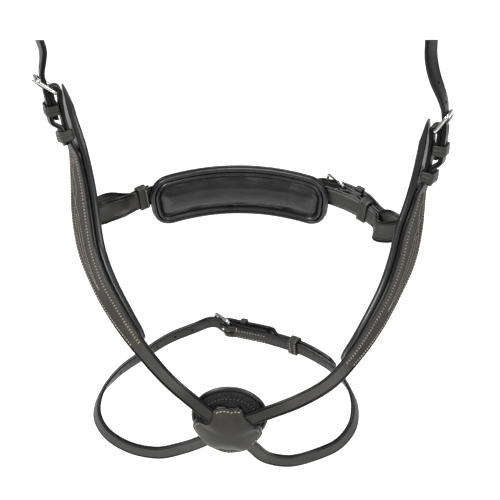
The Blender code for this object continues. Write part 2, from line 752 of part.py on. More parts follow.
def crown_buckling(cross, neck, bar, stations, far_bar, far_ease, hole):
    """The side buckle's place: on the cross strap's top end, which goes on up as the headpiece's way."""
    steps = [(neck, 0.0, cross.width(neck)), (neck - NECK_LENGTH / 2, NECK_LIFT * 0.55, CROWN_WIDTH * 1.2)]
    top = neck - NECK_LENGTH
    steps += [(mix(top, bar, k / 4), NECK_LIFT * (1.0 if k < 3 else 0.75 if k < 4 else 0.5), CROWN_WIDTH)
              for k in range(5)]
    route = Route([cross.key(*step) for step in steps] + [station(*s, CROWN_WIDTH) for s in stations])
    pivot = cross.point(bar)
    place = min(route.along, key=lambda s: np.linalg.norm(route.point(s) - pivot))
    return Buckling(route, place, CROSS_THICK, CROWN_THICK, 0.0, 0.0, KEEPER_THICK + EASE, far_bar, far_ease,
                    hole)


def top_chape(hang):
    """Rows of a cross strap's top end, from where it is sewn down, round the pivot bar, to the cheek."""
    return list(reversed(lay(hang.route, hang.chape_places(0.0, CROWN_RETURN), None, 0.0, -1)))


# The scene starts empty
for old in list(bpy.data.objects):
    bpy.data.objects.remove(old, do_unlink=True)

leather = finish("black_leather", (0.030, 0.030, 0.027), 0.45)
lining_leather = finish("soft_black_leather", (0.014, 0.014, 0.015), 0.35)
fleece = finish("black_fleece", (0.006, 0.006, 0.006), 0.95)
steel = finish("steel", (0.62, 0.61, 0.58), 0.22, 1.0)

# The two cross straps, each one piece from its cheek's top over the nose to the chin
left_cross = Route([station(*s) for s in LEFT_CROSS])
right_cross = Route([station(*s) for s in RIGHT_CROSS])
jaw = Route([station(*s, JAW_WIDTH) for s in JAW])

sewn_room = KEEPER_THICK + EASE
left_hang = crown_buckling(left_cross, LEFT_NECK, LEFT_BAR, LEFT_CROWN, LEFT_FAR_BAR, LEFT_FAR_EASE,
                           LEFT_TONGUE_HOLE)
right_hang = crown_buckling(right_cross, RIGHT_NECK, RIGHT_BAR, RIGHT_CROWN, RIGHT_FAR_BAR, EASE,
                            RIGHT_TONGUE_HOLE)
chin = Buckling(left_cross, left_cross.length - CHIN_BAR_FROM_END, CROSS_THICK, CROSS_THICK, 0.0, sewn_room)
left_rows = top_chape(left_hang) + lay(left_cross, chin.chape_places(LEFT_NECK + STEP, CHIN_RETURN))
left_strap = ribbon("left_cross_strap", left_rows, CROSS_THICK, leather)
cut(left_strap, [left_hang.chape_slot(), chin.chape_slot()])

chin_tip = chin.place - CHIN_TIP
right_places = run((RIGHT_NECK + STEP, 0.0), (right_cross.length, 0.0))
right_rows = top_chape(right_hang) + lay(right_cross, right_places)
right_rows += lay(left_cross, chin.billet_places(chin_tip, CHIN_RETURN), None, 0.0, -1)
right_strap = ribbon("right_cross_strap", pointed(right_rows), CROSS_THICK, leather)
cut(right_strap, [right_hang.chape_slot(), chin.tongue_hole()]
    + [punch(right_cross, right_cross.length - back) for back in CHIN_HOLES])

chin_frame = chin.frame("chin_buckle_frame", CROSS_WIDTH, steel)
chin_tongue = chin.tongue("chin_buckle_tongue", steel)
keeper("chin_fixed_keeper", left_cross, chin.place - KEEPER_NEAR, KEEPER_SHORT, chin.bottom, chin.top,
       CROSS_WIDTH, leather)
keeper("chin_sliding_keeper", left_cross, chin.place - CHIN_KEEPER_FAR, KEEPER_LONG, -CROSS_THICK / 2,
       chin.back + CROSS_THICK / 2, CROSS_WIDTH, leather)

# The jaw strap: a loop through each cheek piece's lining, joined behind the jaw pad
left_slot = slot_rows(left_cross, LEFT_JAW_SLOT, 1, LEFT_JAW_SAG)
right_slot = slot_rows(right_cross, RIGHT_JAW_SLOT, -1, RIGHT_JAW_SAG)
jaw_buckle = Buckling(jaw, JAW_BAR, JAW_THICK, JAW_THICK, JAW_CHAPE_LIFT, sewn_room, hole=JAW_TONGUE_HOLE)
double = JAW_THICK + LAID
chape = run((4, double), (JAW_LAP_END, double), (JAW_BAR - BUCKLE_BEND - 6, JAW_CHAPE_LIFT))
chape = chape[:-1] + jaw_buckle.chape_places(JAW_BAR - BUCKLE_BEND - 6, JAW_RETURN)
rows = list(reversed(lay(jaw, chape, JAW_WIDTH)))
rows += list(reversed(right_slot))
rows += lay(jaw, run((6, 0.0), (jaw.length - 6, 0.0)), JAW_WIDTH)
rows += left_slot
rows += lay(jaw, run((jaw.length - 8, double), (jaw.length - LEFT_JAW_LAP, double)), JAW_WIDTH)
jaw_strap = ribbon("jaw_strap", smooth(rows, 3.5), JAW_THICK, leather)
cut(jaw_strap, [jaw_buckle.chape_slot()])
past_keeper = double + JAW_THICK + KEEPER_THICK + 2 * EASE
billet = jaw_buckle.billet_places(JAW_BAR - JAW_TIP, JAW_RETURN, past_keeper, 2 * BUCKLE_BEND)
billet = run((JAW_BILLET_SEAT, double), (JAW_BAR + FAR_BAR[0] + 12, double), billet[0]) + billet[1:]
jaw_billet = ribbon("jaw_billet", pointed(lay(jaw, billet, JAW_WIDTH)), JAW_THICK, leather)
cut(jaw_billet, [jaw_buckle.tongue_hole()])
jaw_buckle.frame("jaw_buckle_frame", JAW_WIDTH, steel)
jaw_buckle.tongue("jaw_buckle_tongue", steel)

# Cheek linings, slotted for the jaw strap and tapered to a tip at the top
for side, cross, end, slot in (("left", left_cross, LEFT_LINING_END, left_slot),
                               ("right", right_cross, RIGHT_LINING_END, right_slot)):
    rear = 1 if side == "left" else -1
    lift = -(CROSS_THICK + LINING_THICK) / 2 - LINING_GAP
    rows = lay(cross, run((LINING_START, lift), (end, lift)), None, -rear * LINING_PROUD / 2)
    lining = ribbon(side + "_cheek_lining", rows, LINING_THICK, lining_leather, roll_section, LINING_BEVEL)
    way = smooth(slot, 3.0)
    for row in way:
        row[6] += 2 * EASE
    inside = lift - LINING_THICK
    taper = lay(cross, [(LINING_START - STEP, inside + LINING_THICK * 0.95),
                        (LINING_START + LINING_TAPER, inside - GAP)], 6 * CROSS_WIDTH)
    cut(lining, [(sweep(way, JAW_THICK + 2 * EASE), loops_to_faces(len(way), 8, False)),
                 (sweep(taper, LINING_THICK), loops_to_faces(len(taper), 8, False))])

# The headpiece's cut ends, and the buckles that hang the cheek pieces from them
for side, hang, keepers in (("left", left_hang, LEFT_KEEPERS), ("right", right_hang, RIGHT_KEEPERS)):
    crown = hang.route
    seat = (CROSS_THICK + CROWN_THICK) / 2 + LAID
    tip = hang.place - keepers[1] - CROWN_TIP
    places = run((crown.length + CROWN_WIDTH, 0.0), (crown.length - STRAIGHT_END, 0.0),
                 (hang.place + hang.far, hang.under))[:-1]
    places += hang.billet_places(tip, CROWN_RETURN, seat, CROWN_DIVE)
    headpiece = ribbon(side + "_headpiece_strap", pointed(lay(crown, places)), CROWN_THICK, leather)
    holes = [punch(crown, hang.place + s, hang.under) for s in HEADPIECE_HOLES
             if hang.place + s < crown.length - 4]
    cut(headpiece, [hang.tongue_hole(), cut_block(crown)] + holes)
    hang.frame(side + "_buckle_frame", CROWN_WIDTH, steel)
    hang.tongue(side + "_buckle_tongue", steel)
    keeper(side + "_fixed_keeper", crown, hang.place - keepers[0], KEEPER_LONG, hang.back - CROSS_THICK / 2,
           hang.top, CROWN_WIDTH, leather)
    keeper(side + "_sliding_keeper", crown, hang.place - keepers[1], KEEPER_LONG, -CROSS_THICK / 2,
           seat + CROWN_THICK / 2, CROWN_WIDTH, leather)

# Jaw keepers
inner, outer = -JAW_THICK / 2, JAW_THICK / 2
for name, place in (("left_jaw_keeper", jaw.length - LEFT_JAW_KEEPER),
                    ("right_jaw_keeper", RIGHT_JAW_KEEPER)):
    keeper(name, jaw, place, KEEPER_LONG, inner, double + outer, JAW_WIDTH, leather)
keeper("jaw_fixed_keeper", jaw, JAW_BAR - KEEPER_NEAR, KEEPER_SHORT, jaw_buckle.bottom, jaw_buckle.top,
       JAW_WIDTH, leather)

# Jaw pad, on the inside of the jaw strap
middle = float(np.interp(-JAW_PAD_MIDDLE, -jaw.rows[:, 0], jaw.along))
seat = JAW_THICK / 2 + GAP
panel("jaw_pad_backing", jaw, middle, JAW_PAD_HALF, JAW_PAD_HEIGHT, JAW_PAD_CORNER, (0.0, 12.0),
      lambda d: JAW_PAD_BACK, seat, leather)
face = seat + JAW_PAD_BACK + LAID
rim = [jaw.point(middle + s, -(face + PIPING), w + pad_drop(s)) for s, w in panel_outline(
    JAW_PAD_HALF - PIPING, JAW_PAD_HEIGHT - 2 * PIPING, JAW_PAD_CORNER - PIPING)]
tube("jaw_pad_piping", rim, PIPING, lining_leather, True, sides=6)
inset = 2 * PIPING + GAP
panel("jaw_pad_cushion", jaw, middle, JAW_PAD_HALF - inset, JAW_PAD_HEIGHT - 2 * inset,
      JAW_PAD_CORNER - inset, (0.0, 1.0, 2.5, 4.5, 6.0, 8.0, 11.0, 15.0), cushion_depth, face, lining_leather)

# Nose pad, its piping and the cover over the crossing
reach = PAD_RADIUS - 2 * PIPING - GAP
front = [(r, nose_front(r)) for r in (0.0, reach * 0.3, reach * 0.55, reach * 0.8, reach - 2.0)]
back = [(reach, nose_front(reach) + 1.8), (reach, nose_front(reach) + PAD_THICK - 2.5),
        (reach - 2.5, nose_front(reach) + PAD_THICK),
        (reach * 0.5, nose_front(reach * 0.5) + PAD_THICK + 1.0), (0.0, nose_front(0.0) + PAD_THICK + 1.5)]
turned("nose_pad", front + back, 28, fleece)
ring = [(NOSE_CENTRE[0] + (PAD_RADIUS - PIPING) * math.cos(2 * math.pi * k / 36),
         nose_front(PAD_RADIUS) + PIPING + 0.6,
         NOSE_CENTRE[1] + (PAD_RADIUS - PIPING) * math.sin(2 * math.pi * k / 36)) for k in range(36)]
tube("nose_pad_piping", ring, PIPING, lining_leather, True, sides=6)
nose_cover("nose_cover", (left_cross, right_cross), leather)
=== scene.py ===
"""A figure-eight noseband with its cheek pieces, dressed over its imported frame.

Strap routes are in millimetres from the middle of the nose pad, as a saddler lays them out, and
each finished piece is moved to the origin between the two cut ends of the headpiece.
"""
import math

import bmesh
import bpy
import numpy as np
from mathutils import Matrix, Vector, bvhtree, kdtree, noise


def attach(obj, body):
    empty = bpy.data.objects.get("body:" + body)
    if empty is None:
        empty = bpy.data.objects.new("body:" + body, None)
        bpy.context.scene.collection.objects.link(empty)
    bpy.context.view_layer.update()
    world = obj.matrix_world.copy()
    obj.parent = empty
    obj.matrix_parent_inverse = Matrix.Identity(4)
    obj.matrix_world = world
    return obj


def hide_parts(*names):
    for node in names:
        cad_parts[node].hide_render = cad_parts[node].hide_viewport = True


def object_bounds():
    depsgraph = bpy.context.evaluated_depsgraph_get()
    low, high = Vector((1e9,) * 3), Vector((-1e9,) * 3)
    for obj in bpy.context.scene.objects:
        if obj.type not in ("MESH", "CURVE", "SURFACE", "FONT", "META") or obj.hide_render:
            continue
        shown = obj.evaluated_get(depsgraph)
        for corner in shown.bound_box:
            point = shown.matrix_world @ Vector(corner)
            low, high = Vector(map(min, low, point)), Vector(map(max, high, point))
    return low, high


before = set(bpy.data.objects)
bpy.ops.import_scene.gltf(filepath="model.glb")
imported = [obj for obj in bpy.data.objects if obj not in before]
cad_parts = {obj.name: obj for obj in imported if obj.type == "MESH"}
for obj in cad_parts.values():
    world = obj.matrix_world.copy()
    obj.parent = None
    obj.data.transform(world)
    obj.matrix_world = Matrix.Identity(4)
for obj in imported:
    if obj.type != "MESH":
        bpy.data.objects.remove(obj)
cad_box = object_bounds()

# Camera, floor and light: the picture looks down on the noseband from in front, with a slight roll,
# against plain white. The floor lies below the lowest strap and keeps a faint shadow.
MM = 0.001
NOSE_TO_CROWN = np.array([2.7, 170.7, 294.7])  # mm, from the nose pad to the origin
PHOTO_SIDE = 500                                # px
VIEW_ELEVATION = math.radians(38.0)
VIEW_AZIMUTH = math.radians(3.0)
VIEW_ROLL = math.radians(-1.6)
VIEW_DISTANCE = 1500.0                          # mm
VIEW_TARGET = np.array([17.0, 60.0, 147.0])     # mm, from the nose pad
VIEW_FOCAL = 1705.0                             # px
SENSOR = 36.0                                   # mm

back = Vector((math.sin(VIEW_AZIMUTH) * math.cos(VIEW_ELEVATION),
               -math.cos(VIEW_AZIMUTH) * math.cos(VIEW_ELEVATION), math.sin(VIEW_ELEVATION)))
level = Vector((math.cos(VIEW_AZIMUTH), math.sin(VIEW_AZIMUTH), 0.0))
upright = back.cross(level)
right = level * math.cos(VIEW_ROLL) + upright * math.sin(VIEW_ROLL)
up = upright * math.cos(VIEW_ROLL) - level * math.sin(VIEW_ROLL)
eye = Vector((VIEW_TARGET - NOSE_TO_CROWN) * MM) + back * VIEW_DISTANCE * MM
camera_data = bpy.data.cameras.new("camera")
camera_data.lens = SENSOR * VIEW_FOCAL / PHOTO_SIDE
camera_data.sensor_width = SENSOR
camera = bpy.data.objects.new("camera", camera_data)
camera.matrix_world = Matrix((
    (right.x, up.x, back.x, eye.x), (right.y, up.y, back.y, eye.y), (right.z, up.z, back.z, eye.z),
    (0.0, 0.0, 0.0, 1.0)))
bpy.context.collection.objects.link(camera)
bpy.context.scene.camera = camera

FLOOR_DROP = 0.06                               # m, below the lowest strap
FLOOR_HALF = 6.0                                # m
LAMP_AIM = (0.0, -0.05, -0.2)                   # m
LAMPS = (("key", (-0.9, -0.7, 1.1), 0.7, 27.0), ("fill", (1.1, -0.8, 0.7), 0.9, 12.0),
         ("top", (0.1, 0.7, 1.3), 0.8, 17.0))   # place and side in m, power in W


def wire(tree, parts, joins):
    """Adds nodes to a tree from {name: (type, settings)} and links from "name.Output > name.Input".

    A setting is an input's value where it is a number or has a capital, the two stops of a colour
    ramp where it is "ramp", and else the node's own.
    """
    made = {}
    for name, (kind, settings) in parts.items():
        made[name] = node = tree.nodes.get(kind) or tree.nodes.new(kind)
        for key, value in settings.items():
            if key == "ramp":
                for stop, (position, colour) in zip(node.color_ramp.elements, value):
                    stop.position = position
                    stop.color = (*colour, 1.0)
            elif isinstance(key, int) or key[0].isupper():
                node.inputs[key].default_value = value
            else:
                setattr(node, key, value)
    for join in joins.split(","):
        ends = [end.strip().split(".") for end in join.split(">")]
        (giver, out), (taker, into) = [(name, int(s) if s.isdigit() else s) for name, s in ends]
        tree.links.new(made[giver].outputs[out], made[taker].inputs[into])


def painted(name, parts, joins):
    """A material made of a table of nodes."""
    material = bpy.data.materials.new(name)
    material.use_nodes = True
    wire(material.node_tree, parts, joins)
    return material


floor_z = cad_box[0][2] - FLOOR_DROP
floor_mesh = bpy.data.meshes.new("floor")
floor_mesh.from_pydata([(x * FLOOR_HALF, y * FLOOR_HALF, floor_z)
                        for x, y in ((-1, -1), (1, -1), (1, 1), (-1, 1))], [], [(0, 1, 2, 3)])
floor = bpy.data.objects.new("floor", floor_mesh)
bpy.context.collection.objects.link(floor)
floor_mesh.materials.append(painted("paper", {
    "shader": ("Principled BSDF", {"Base Color": (0.86, 0.86, 0.86, 1.0), "Roughness": 0.9,
                                   "Specular IOR Level": 0.1}),
    "glow": ("ShaderNodeEmission", {"Strength": 0.42}),
    "rays": ("ShaderNodeLightPath", {}),
    "both": ("ShaderNodeAddShader", {}),
    "seen": ("ShaderNodeMixShader", {}),
    "end": ("Material Output", {})}, """
    shader.0 > both.0, glow.0 > both.1, rays.Is Camera Ray > seen.Fac, shader.0 > seen.1, both.0 > seen.2,
    seen.0 > end.Surface"""))

world = bpy.data.worlds.new("studio")
bpy.context.scene.world = world
world.use_nodes = True
wire(world.node_tree, {
    "lit": ("Background", {"Color": (1.0, 1.0, 1.0, 1.0), "Strength": 0.3}),
    "white": ("ShaderNodeBackground", {"Strength": 1.0}),
    "rays": ("ShaderNodeLightPath", {}),
    "seen": ("ShaderNodeMixShader", {}),
    "end": ("World Output", {})}, """
    rays.Is Camera Ray > seen.Fac, lit.0 > seen.1, white.0 > seen.2, seen.0 > end.Surface""")
bpy.context.scene.view_settings.view_transform = 'Standard'

for name, place, size, power in LAMPS:
    lamp = bpy.data.lights.new(name, 'AREA')
    lamp.size = size
    lamp.energy = power
    softbox = bpy.data.objects.new(name, lamp)
    softbox.location = place
    softbox.rotation_euler = (Vector(LAMP_AIM) - Vector(place)).to_track_quat('-Z', 'Y').to_euler()
    bpy.context.collection.objects.link(softbox)

# Bridle leather: vegetable-tanned hide, coloured black and waxed. The face is fine-grained with a dull olive
# cast, and the cut edges are coloured and burnished, so they are darker, smoother and shine more. The same
# darker colour is laid into the tooled creases beside them as painted shade.
BURNISHED = 0.25                                # roughness of a cut edge
EDGE_CALM = 0.85                                # share of the grain and the wrinkles that burnishing takes


def leather(name, face, edge, roughness, grain, wrinkle, shine, wax):
    """Leather in two colours, for its face and its cut edges, the second also laid into the creases as
    painted shade; grain and wrinkle are how deep those look.
    """
    return painted(name, {
        "shader": ("Principled BSDF", {"Coat Weight": wax, "Coat Roughness": 0.3,
                                       "Specular IOR Level": shine}),
        "place": ("ShaderNodeTexCoord", {}),
        "cloud": ("ShaderNodeTexNoise", {"Scale": 45.0, "Detail": 5.0}),
        "tone": ("ShaderNodeValToRGB", {"ramp": ((0.3, [c * 0.78 for c in face]),
                                                 (0.72, [c * 1.25 for c in face]))}),
        # the mask gives real edge colour on the cut edges and painted shade in the creases
        "worn": ("ShaderNodeAttribute", {"attribute_name": "edge_dye_and_crease_shade"}),
        "dye": ("ShaderNodeMix", {"data_type": 'RGBA', "B": (*edge, 1.0)}),
        "gloss": ("ShaderNodeMapRange", {"From Min": 0.3, "From Max": 0.7, "To Min": roughness - 0.06,
                                         "To Max": roughness + 0.08}),
        "burnish": ("ShaderNodeMix", {"data_type": 'FLOAT', "B": BURNISHED}),
        "pores": ("ShaderNodeTexVoronoi", {"Scale": 1500.0}),
        "folds": ("ShaderNodeTexNoise", {"Scale": 260.0, "Detail": 4.0, "Distortion": 0.6}),
        "grain": ("ShaderNodeMath", {"operation": 'MULTIPLY_ADD', 1: -EDGE_CALM * grain, 2: grain}),
        "wrinkle": ("ShaderNodeMath", {"operation": 'MULTIPLY_ADD', 1: -EDGE_CALM * wrinkle, 2: wrinkle}),
        "fine": ("ShaderNodeBump", {"Distance": 0.00025}),
        "soft": ("ShaderNodeBump", {"Distance": 0.0006})}, """
        place.Object > cloud.Vector, place.Object > pores.Vector, place.Object > folds.Vector,
        cloud.Fac > tone.Fac, tone.Color > dye.A, worn.Fac > dye.Factor, dye.Result > shader.Base Color,
        cloud.Fac > gloss.Value, gloss.Result > burnish.A, worn.Fac > burnish.Factor,
        burnish.Result > shader.Roughness, worn.Fac > grain.0, worn.Fac > wrinkle.0,
        grain.Value > fine.Strength, pores.Distance > fine.Height, wrinkle.Value > soft.Strength,
        folds.Fac > soft.Height, fine.Normal > soft.Normal, soft.Normal > shader.Normal""")


# its edge colour also fills the tooled creases as painted shade
bridle_leather = leather("bridle_leather", face=(0.033, 0.032, 0.028), edge=(0.004, 0.004, 0.005),
                         roughness=0.44, grain=0.2, wrinkle=0.16, shine=0.33, wax=0.05)

# The two cross straps. Each is one piece of bridle leather: a broad cheek face, a narrow strap over the
# nose, and half of the lower loop. The left one lies over the right one on the nose.
CROSS_THICK = 3.6
CROSS_WIDTH = 13.0
LAID = 0.5                              # between layers that lie on each other
GAP = 0.3
EASE = 0.5
ROW = 2.0                               # between the rows of a strap's mesh
CREASE_IN = 1.9                         # of the tooled line from the strap's edge
CREASE_DEEP = 0.5
EDGE_ROUND = 1.2                        # radius of a burnished edge
HOLE_ACROSS = 3.0
TIP_LONG = 10.0
TIP_NARROWS = 0.62                      # share of its width that a strap loses at its tip
PUNCH_REACH = 4.0                       # of a punch on both sides of the strap's middle
SHARP = math.radians(50.0)              # edges past it keep their line

# x, y, z, then the azimuth and elevation that the strap's outer face looks to, and its width
LEFT_CROSS = [
    (-155, 161.2, 254.9, 196, 0, 10), (-151.3, 155, 227.4, 201, 2, 15), (-144, 143, 197, 209, 4, 23),
    (-141, 134, 169, 215, 8, 29), (-139, 121, 140, 218, 12, 34), (-134, 103, 115, 219, 13, 33),
    (-121, 77, 95, 224, 14, 27), (-104, 52, 79, 236, 22, 21), (-80, 24, 60, 249, 34, 15),
    (-55, 2, 43, 262, 38, 13), (-31, -14, 31, 268, 20, 13), (-2, -24.6, 9, 270, 0, 13),
    (17, -15, -19, 272, 0, 13), (31, -5, -44, 282, 0, 13), (52, 5, -58, 290, 4, 13),
    (78, 20, -63, 302, 8, 13), (99, 42, -69, 318, 14, 13), (111, 66, -68, 345, 24, 13),
    (112, 90, -62, 10, 26, 13), (98, 120, -55, 40, 14, 13), (70, 146, -51, 58, 4, 13),
    (30, 170, -53, 64, 0, 13), (-14, 189, -57, 68, 0, 13), (-34, 198, -58, 70, 0, 13)]
RIGHT_CROSS = [
    (178.6, 157.5, 221, 345, 0, 10), (177.3, 152, 202.3, 343, 0, 12), (174, 145, 180, 339, 0, 15),
    (169, 136, 150, 331, 4, 22), (163, 124, 121, 324, 6, 33), (157, 110, 97, 321, 5, 33),
    (146, 92, 75, 317, 6, 26), (128, 66, 53, 312, 18, 20), (109, 40, 39, 308, 28, 15),
    (88, 17, 29, 292, 44, 13), (61, 0, 23, 284, 38, 13), (33, -13, 20, 276, 20, 13),
    (-2, -20, 9, 270, 0, 13), (-26, -13, -15, 268, 0, 13), (-48, -1, -37, 256, 0, 13),
    (-72, 10, -54, 248, 4, 13), (-102, 26, -62, 236, 8, 13), (-126, 49, -64, 212, 16, 13),
    (-136, 74, -64, 186, 26, 13), (-134, 98, -61, 160, 26, 13), (-121, 123, -58, 140, 14, 13),
    (-97, 151, -57, 130, 4, 13), (-70, 177, -56, 128, 0, 13), (-48, 191, -56, 118, 0, 13)]


def mix(a, b, share):
    return a + (b - a) * share


def unit(vector):
    return vector / np.linalg.norm(vector)


def smooth(keys, step):
    """Rows along a smooth curve through the keys, whose first three numbers are a point."""
    keys = np.asarray(keys, float)
    chord = np.linalg.norm(np.diff(keys[:, :3], axis=0), axis=1)
    slope = np.diff(keys, axis=0) / chord[:, None]
    tangent = np.empty_like(keys)
    tangent[0], tangent[-1] = slope[0], slope[-1]
    for i in range(1, len(keys) - 1):
        before, after = chord[i - 1], chord[i]
        tangent[i] = (slope[i - 1] * after + slope[i] * before) / (before + after)
    rows = []
    for i, length in enumerate(chord):
        count = max(1, round(length / step))
        for k in range(count):
            u = k / count
            ends = (2 * u ** 3 - 3 * u ** 2 + 1) * keys[i] + (3 * u ** 2 - 2 * u ** 3) * keys[i + 1]
            bends = (u ** 3 - 2 * u ** 2 + u) * tangent[i] + (u ** 3 - u ** 2) * tangent[i + 1]
            rows.append(ends + bends * length)
    rows.append(keys[-1])
    return np.array(rows)


def station(x, y, z, azimuth, elevation, width):
    """A key of a route: the point, the way the strap's outer face looks, and its width there."""
    a, e = math.radians(azimuth), math.radians(elevation)
    return np.array([x, y, z, math.cos(a) * math.cos(e), math.sin(a) * math.cos(e), math.sin(e), width])


class Route:
    """A strap's way, with its outer face and width, read at a distance along it."""

    def __init__(self, keys):
        self.rows = smooth(keys, 1.0)
        steps = np.linalg.norm(np.diff(self.rows[:, :3], axis=0), axis=1)
        self.along = np.concatenate([[0.0], np.cumsum(steps)])
        self.length = self.along[-1]

    def row(self, s):
        inside = min(max(s, 0.0), self.length)
        row = np.array([np.interp(inside, self.along, column) for column in self.rows.T])
        ahead = self.rows[-1, :3] - self.rows[-4, :3] if s > 0 else self.rows[3, :3] - self.rows[0, :3]
        row[:3] += unit(ahead) * (s - inside)
        return row

    def frame(self, s):
        """Point, way along, way out of the face, and way across."""
        along = unit(self.row(s + 0.8)[:3] - self.row(s - 0.8)[:3])
        row = self.row(s)
        out = unit(row[3:6] - along * (row[3:6] @ along))
        return row[:3], along, out, np.cross(along, out)

    def width(self, s):
        return self.row(s)[6]

    def point(self, s, lift=0.0, across=0.0):
        centre, _, out, side = self.frame(s)
        return centre + out * lift + side * across

    def key(self, s, lift, width):
        _, _, out, _ = self.frame(s)
        return np.concatenate([self.point(s, lift), out, [width]])


def run(*knots):
    """Places along a route with their lift, easing from one (place, lift) knot to the next."""
    places = []
    for (s0, lift0), (s1, lift1) in zip(knots, knots[1:]):
        count = max(6 if lift0 != lift1 else 1, math.ceil(abs(s1 - s0) / 6.0))
        for k in range(count):
            u = k / count
            places.append((mix(s0, s1, u), mix(lift0, lift1, u * u * (3 - 2 * u))))
    places.append(knots[-1])
    return places


def turn(s, low, high):
    """The half round that a strap makes at place s from one lift to another."""
    radius = (high - low) / 2
    angles = [-math.pi / 2 + math.pi * k / 7 for k in range(1, 7)]
    return [(s + radius * math.cos(a), (low + high) / 2 + radius * math.sin(a)) for a in angles]


def lay(route, places, width=None, across=0.0, way=1):
    """Rows of a strap (centre, way across, width) at places along a route; way -1 runs against it."""
    rows = []
    for s, lift in places:
        _, _, _, side = route.frame(s)
        wide = route.width(s) if width is None else width
        rows.append(np.concatenate([route.point(s, lift, across), side * way, [wide]]))
    return rows


def strap_profile(width, thick, crease, both=False):
    """Points (across, out, colour) round a strap with burnished edges and a creased line along each side;
    colour is the share of the edge's colour, real on the edges and painted shade in the creases.

    With both, each side of each face has two lines.
    """
    w, t = width / 2, thick / 2
    r = min(EDGE_ROUND, 0.42 * thick)
    inset = min(CREASE_IN, 0.3 * width)
    edge = []
    for a, edge_dye_and_shade in ((0, 1.0), (35, 1.0), (65, 1.0), (90, 0.9 if crease else 0.0)):
        edge.append((r * math.cos(math.radians(a)), r * math.sin(math.radians(a)), edge_dye_and_shade))
    points = [(w - r + x, t - r + y, edge_dye_and_shade) for x, y, edge_dye_and_shade in edge]
    # inward from the line, depth as a share of the crease's, and the share of the edge's colour laid in there
    # as painted shade
    lines = [(-0.5, 0.0, 0.9), (-0.3, 0.7, 1.0), (0.0, 1.0, 1.0), (0.35, 0.6, 0.7), (0.7, -0.3, 0.0)]
    if both:
        lines += [(1.2, -0.1, 0.0), (1.6, 0.9, 1.0), (2.0, 0.0, 0.0)]
    lines.append((2.8, -0.35, 0.0))
    for x, deep, crease_shade in lines:
        points.append((w - inset - x, t - crease * deep, crease_shade if crease else 0.0))
    points.append((0.0, t + 0.35 * crease, 0.0))
    upper = points + [(-x, y, edge_dye_and_shade) for x, y, edge_dye_and_shade in reversed(points[:-1])]
    if both:
        return upper + [(-x, -y, edge_dye_and_shade) for x, y, edge_dye_and_shade in upper]
    under = [(-w + r - x, -t + r - y, edge_dye_and_shade) for x, y, edge_dye_and_shade in edge] + [(0.0, -t, 0.0)]
    return upper + under + [(w - r + x, -t + r - y, edge_dye_and_shade) for x, y, edge_dye_and_shade in reversed(edge)]


def make(name, verts, faces, material, edges=None):
    """A piece's mesh from millimetre points, moved from the nose pad to the origin, with faces outward."""
    mesh = bpy.data.meshes.new(name)
    mesh.from_pydata([tuple(p) for p in (np.asarray(verts) - NOSE_TO_CROWN) * MM], [], faces)
    # edges holds each point's share of the edge colour: real on cut edges, painted shade in the creases
    if edges is not None:
        edge_dye_and_shade = mesh.attributes.new("edge_dye_and_crease_shade", 'FLOAT', 'POINT')
        edge_dye_and_shade.data.foreach_set("value", np.asarray(edges, np.float32))
    bm = bmesh.new()
    bm.from_mesh(mesh)
    bmesh.ops.recalc_face_normals(bm, faces=bm.faces)
    if bm.calc_volume(signed=True) < 0:
        bmesh.ops.reverse_faces(bm, faces=bm.faces)
    bm.to_mesh(mesh)
    bm.free()
    mesh.shade_smooth()
    mesh.set_sharp_from_angle(angle=SHARP)
    mesh.materials.append(material)
    piece = bpy.data.objects.new(name, mesh)
    bpy.context.collection.objects.link(piece)
    return piece


def skin(count, size, closed=False):
    """Faces between rings of equal size, with end faces where the rings don't close."""
    faces = []
    for i in range(count if closed else count - 1):
        j = (i + 1) % count
        for k in range(size):
            m = (k + 1) % size
            faces.append((i * size + k, i * size + m, j * size + m, j * size + k))
    if not closed:
        faces.append(tuple(range(size - 1, -1, -1)))
        faces.append(tuple((count - 1) * size + k for k in range(size)))
    return faces


def sweep(rows, profile):
    """A profile along a strap's rows: points, faces, and each point's share of the edge's colour, real on the
    cut edges and painted shade in the creases.
    """
    verts, edge_dye_and_shade = [], []
    for i, row in enumerate(rows):
        along = unit(rows[min(i + 1, len(rows) - 1)][:3] - rows[max(i - 1, 0)][:3])
        side = unit(row[3:6] - along * (row[3:6] @ along))
        out = np.cross(side, along)
        for a, b, edge in profile(row[6]):
            verts.append(row[:3] + side * a + out * b)
            edge_dye_and_shade.append(edge)
    return verts, skin(len(rows), len(verts) // len(rows)), edge_dye_and_shade


def strap(name, rows, thick, both=False):
    """A finished strap, smoothly bent through its rows."""
    verts, faces, edge_dye_and_shade = sweep(smooth(rows, ROW),
                               lambda width: strap_profile(width, thick, CREASE_DEEP, both))
    return make(name, verts, faces, bridle_leather, edge_dye_and_shade)


def pointed(rows):
    """Rows whose last stretch narrows to a strap's tip."""
    rows = [row.copy() for row in rows]
    left = 0.0
    for i in range(len(rows) - 1, 0, -1):
        share = max(0.0, 1 - left / TIP_LONG)
        rows[i][6] *= 1 - TIP_NARROWS * share ** 2
        left += np.linalg.norm(rows[i][:3] - rows[i - 1][:3])
    return rows


def prism(route, s, outline, low, high):
    """A cutter across a strap: an outline of (along, across) points between two lifts."""
    centre, along, out, side = route.frame(s)
    flat = [centre + along * a + side * b for a, b in outline]
    return [p + out * low for p in flat] + [p + out * high for p in flat], skin(2, len(outline))


def slot_outline(start, end, across):
    """A round-ended slot from start to end along a strap."""
    r = across / 2
    angles = [math.pi * k / 8 for k in range(9)]
    low_end = [(start + r - r * math.sin(a), r * math.cos(a)) for a in angles]
    return low_end + [(end - r + r * math.sin(a), -r * math.cos(a)) for a in angles]


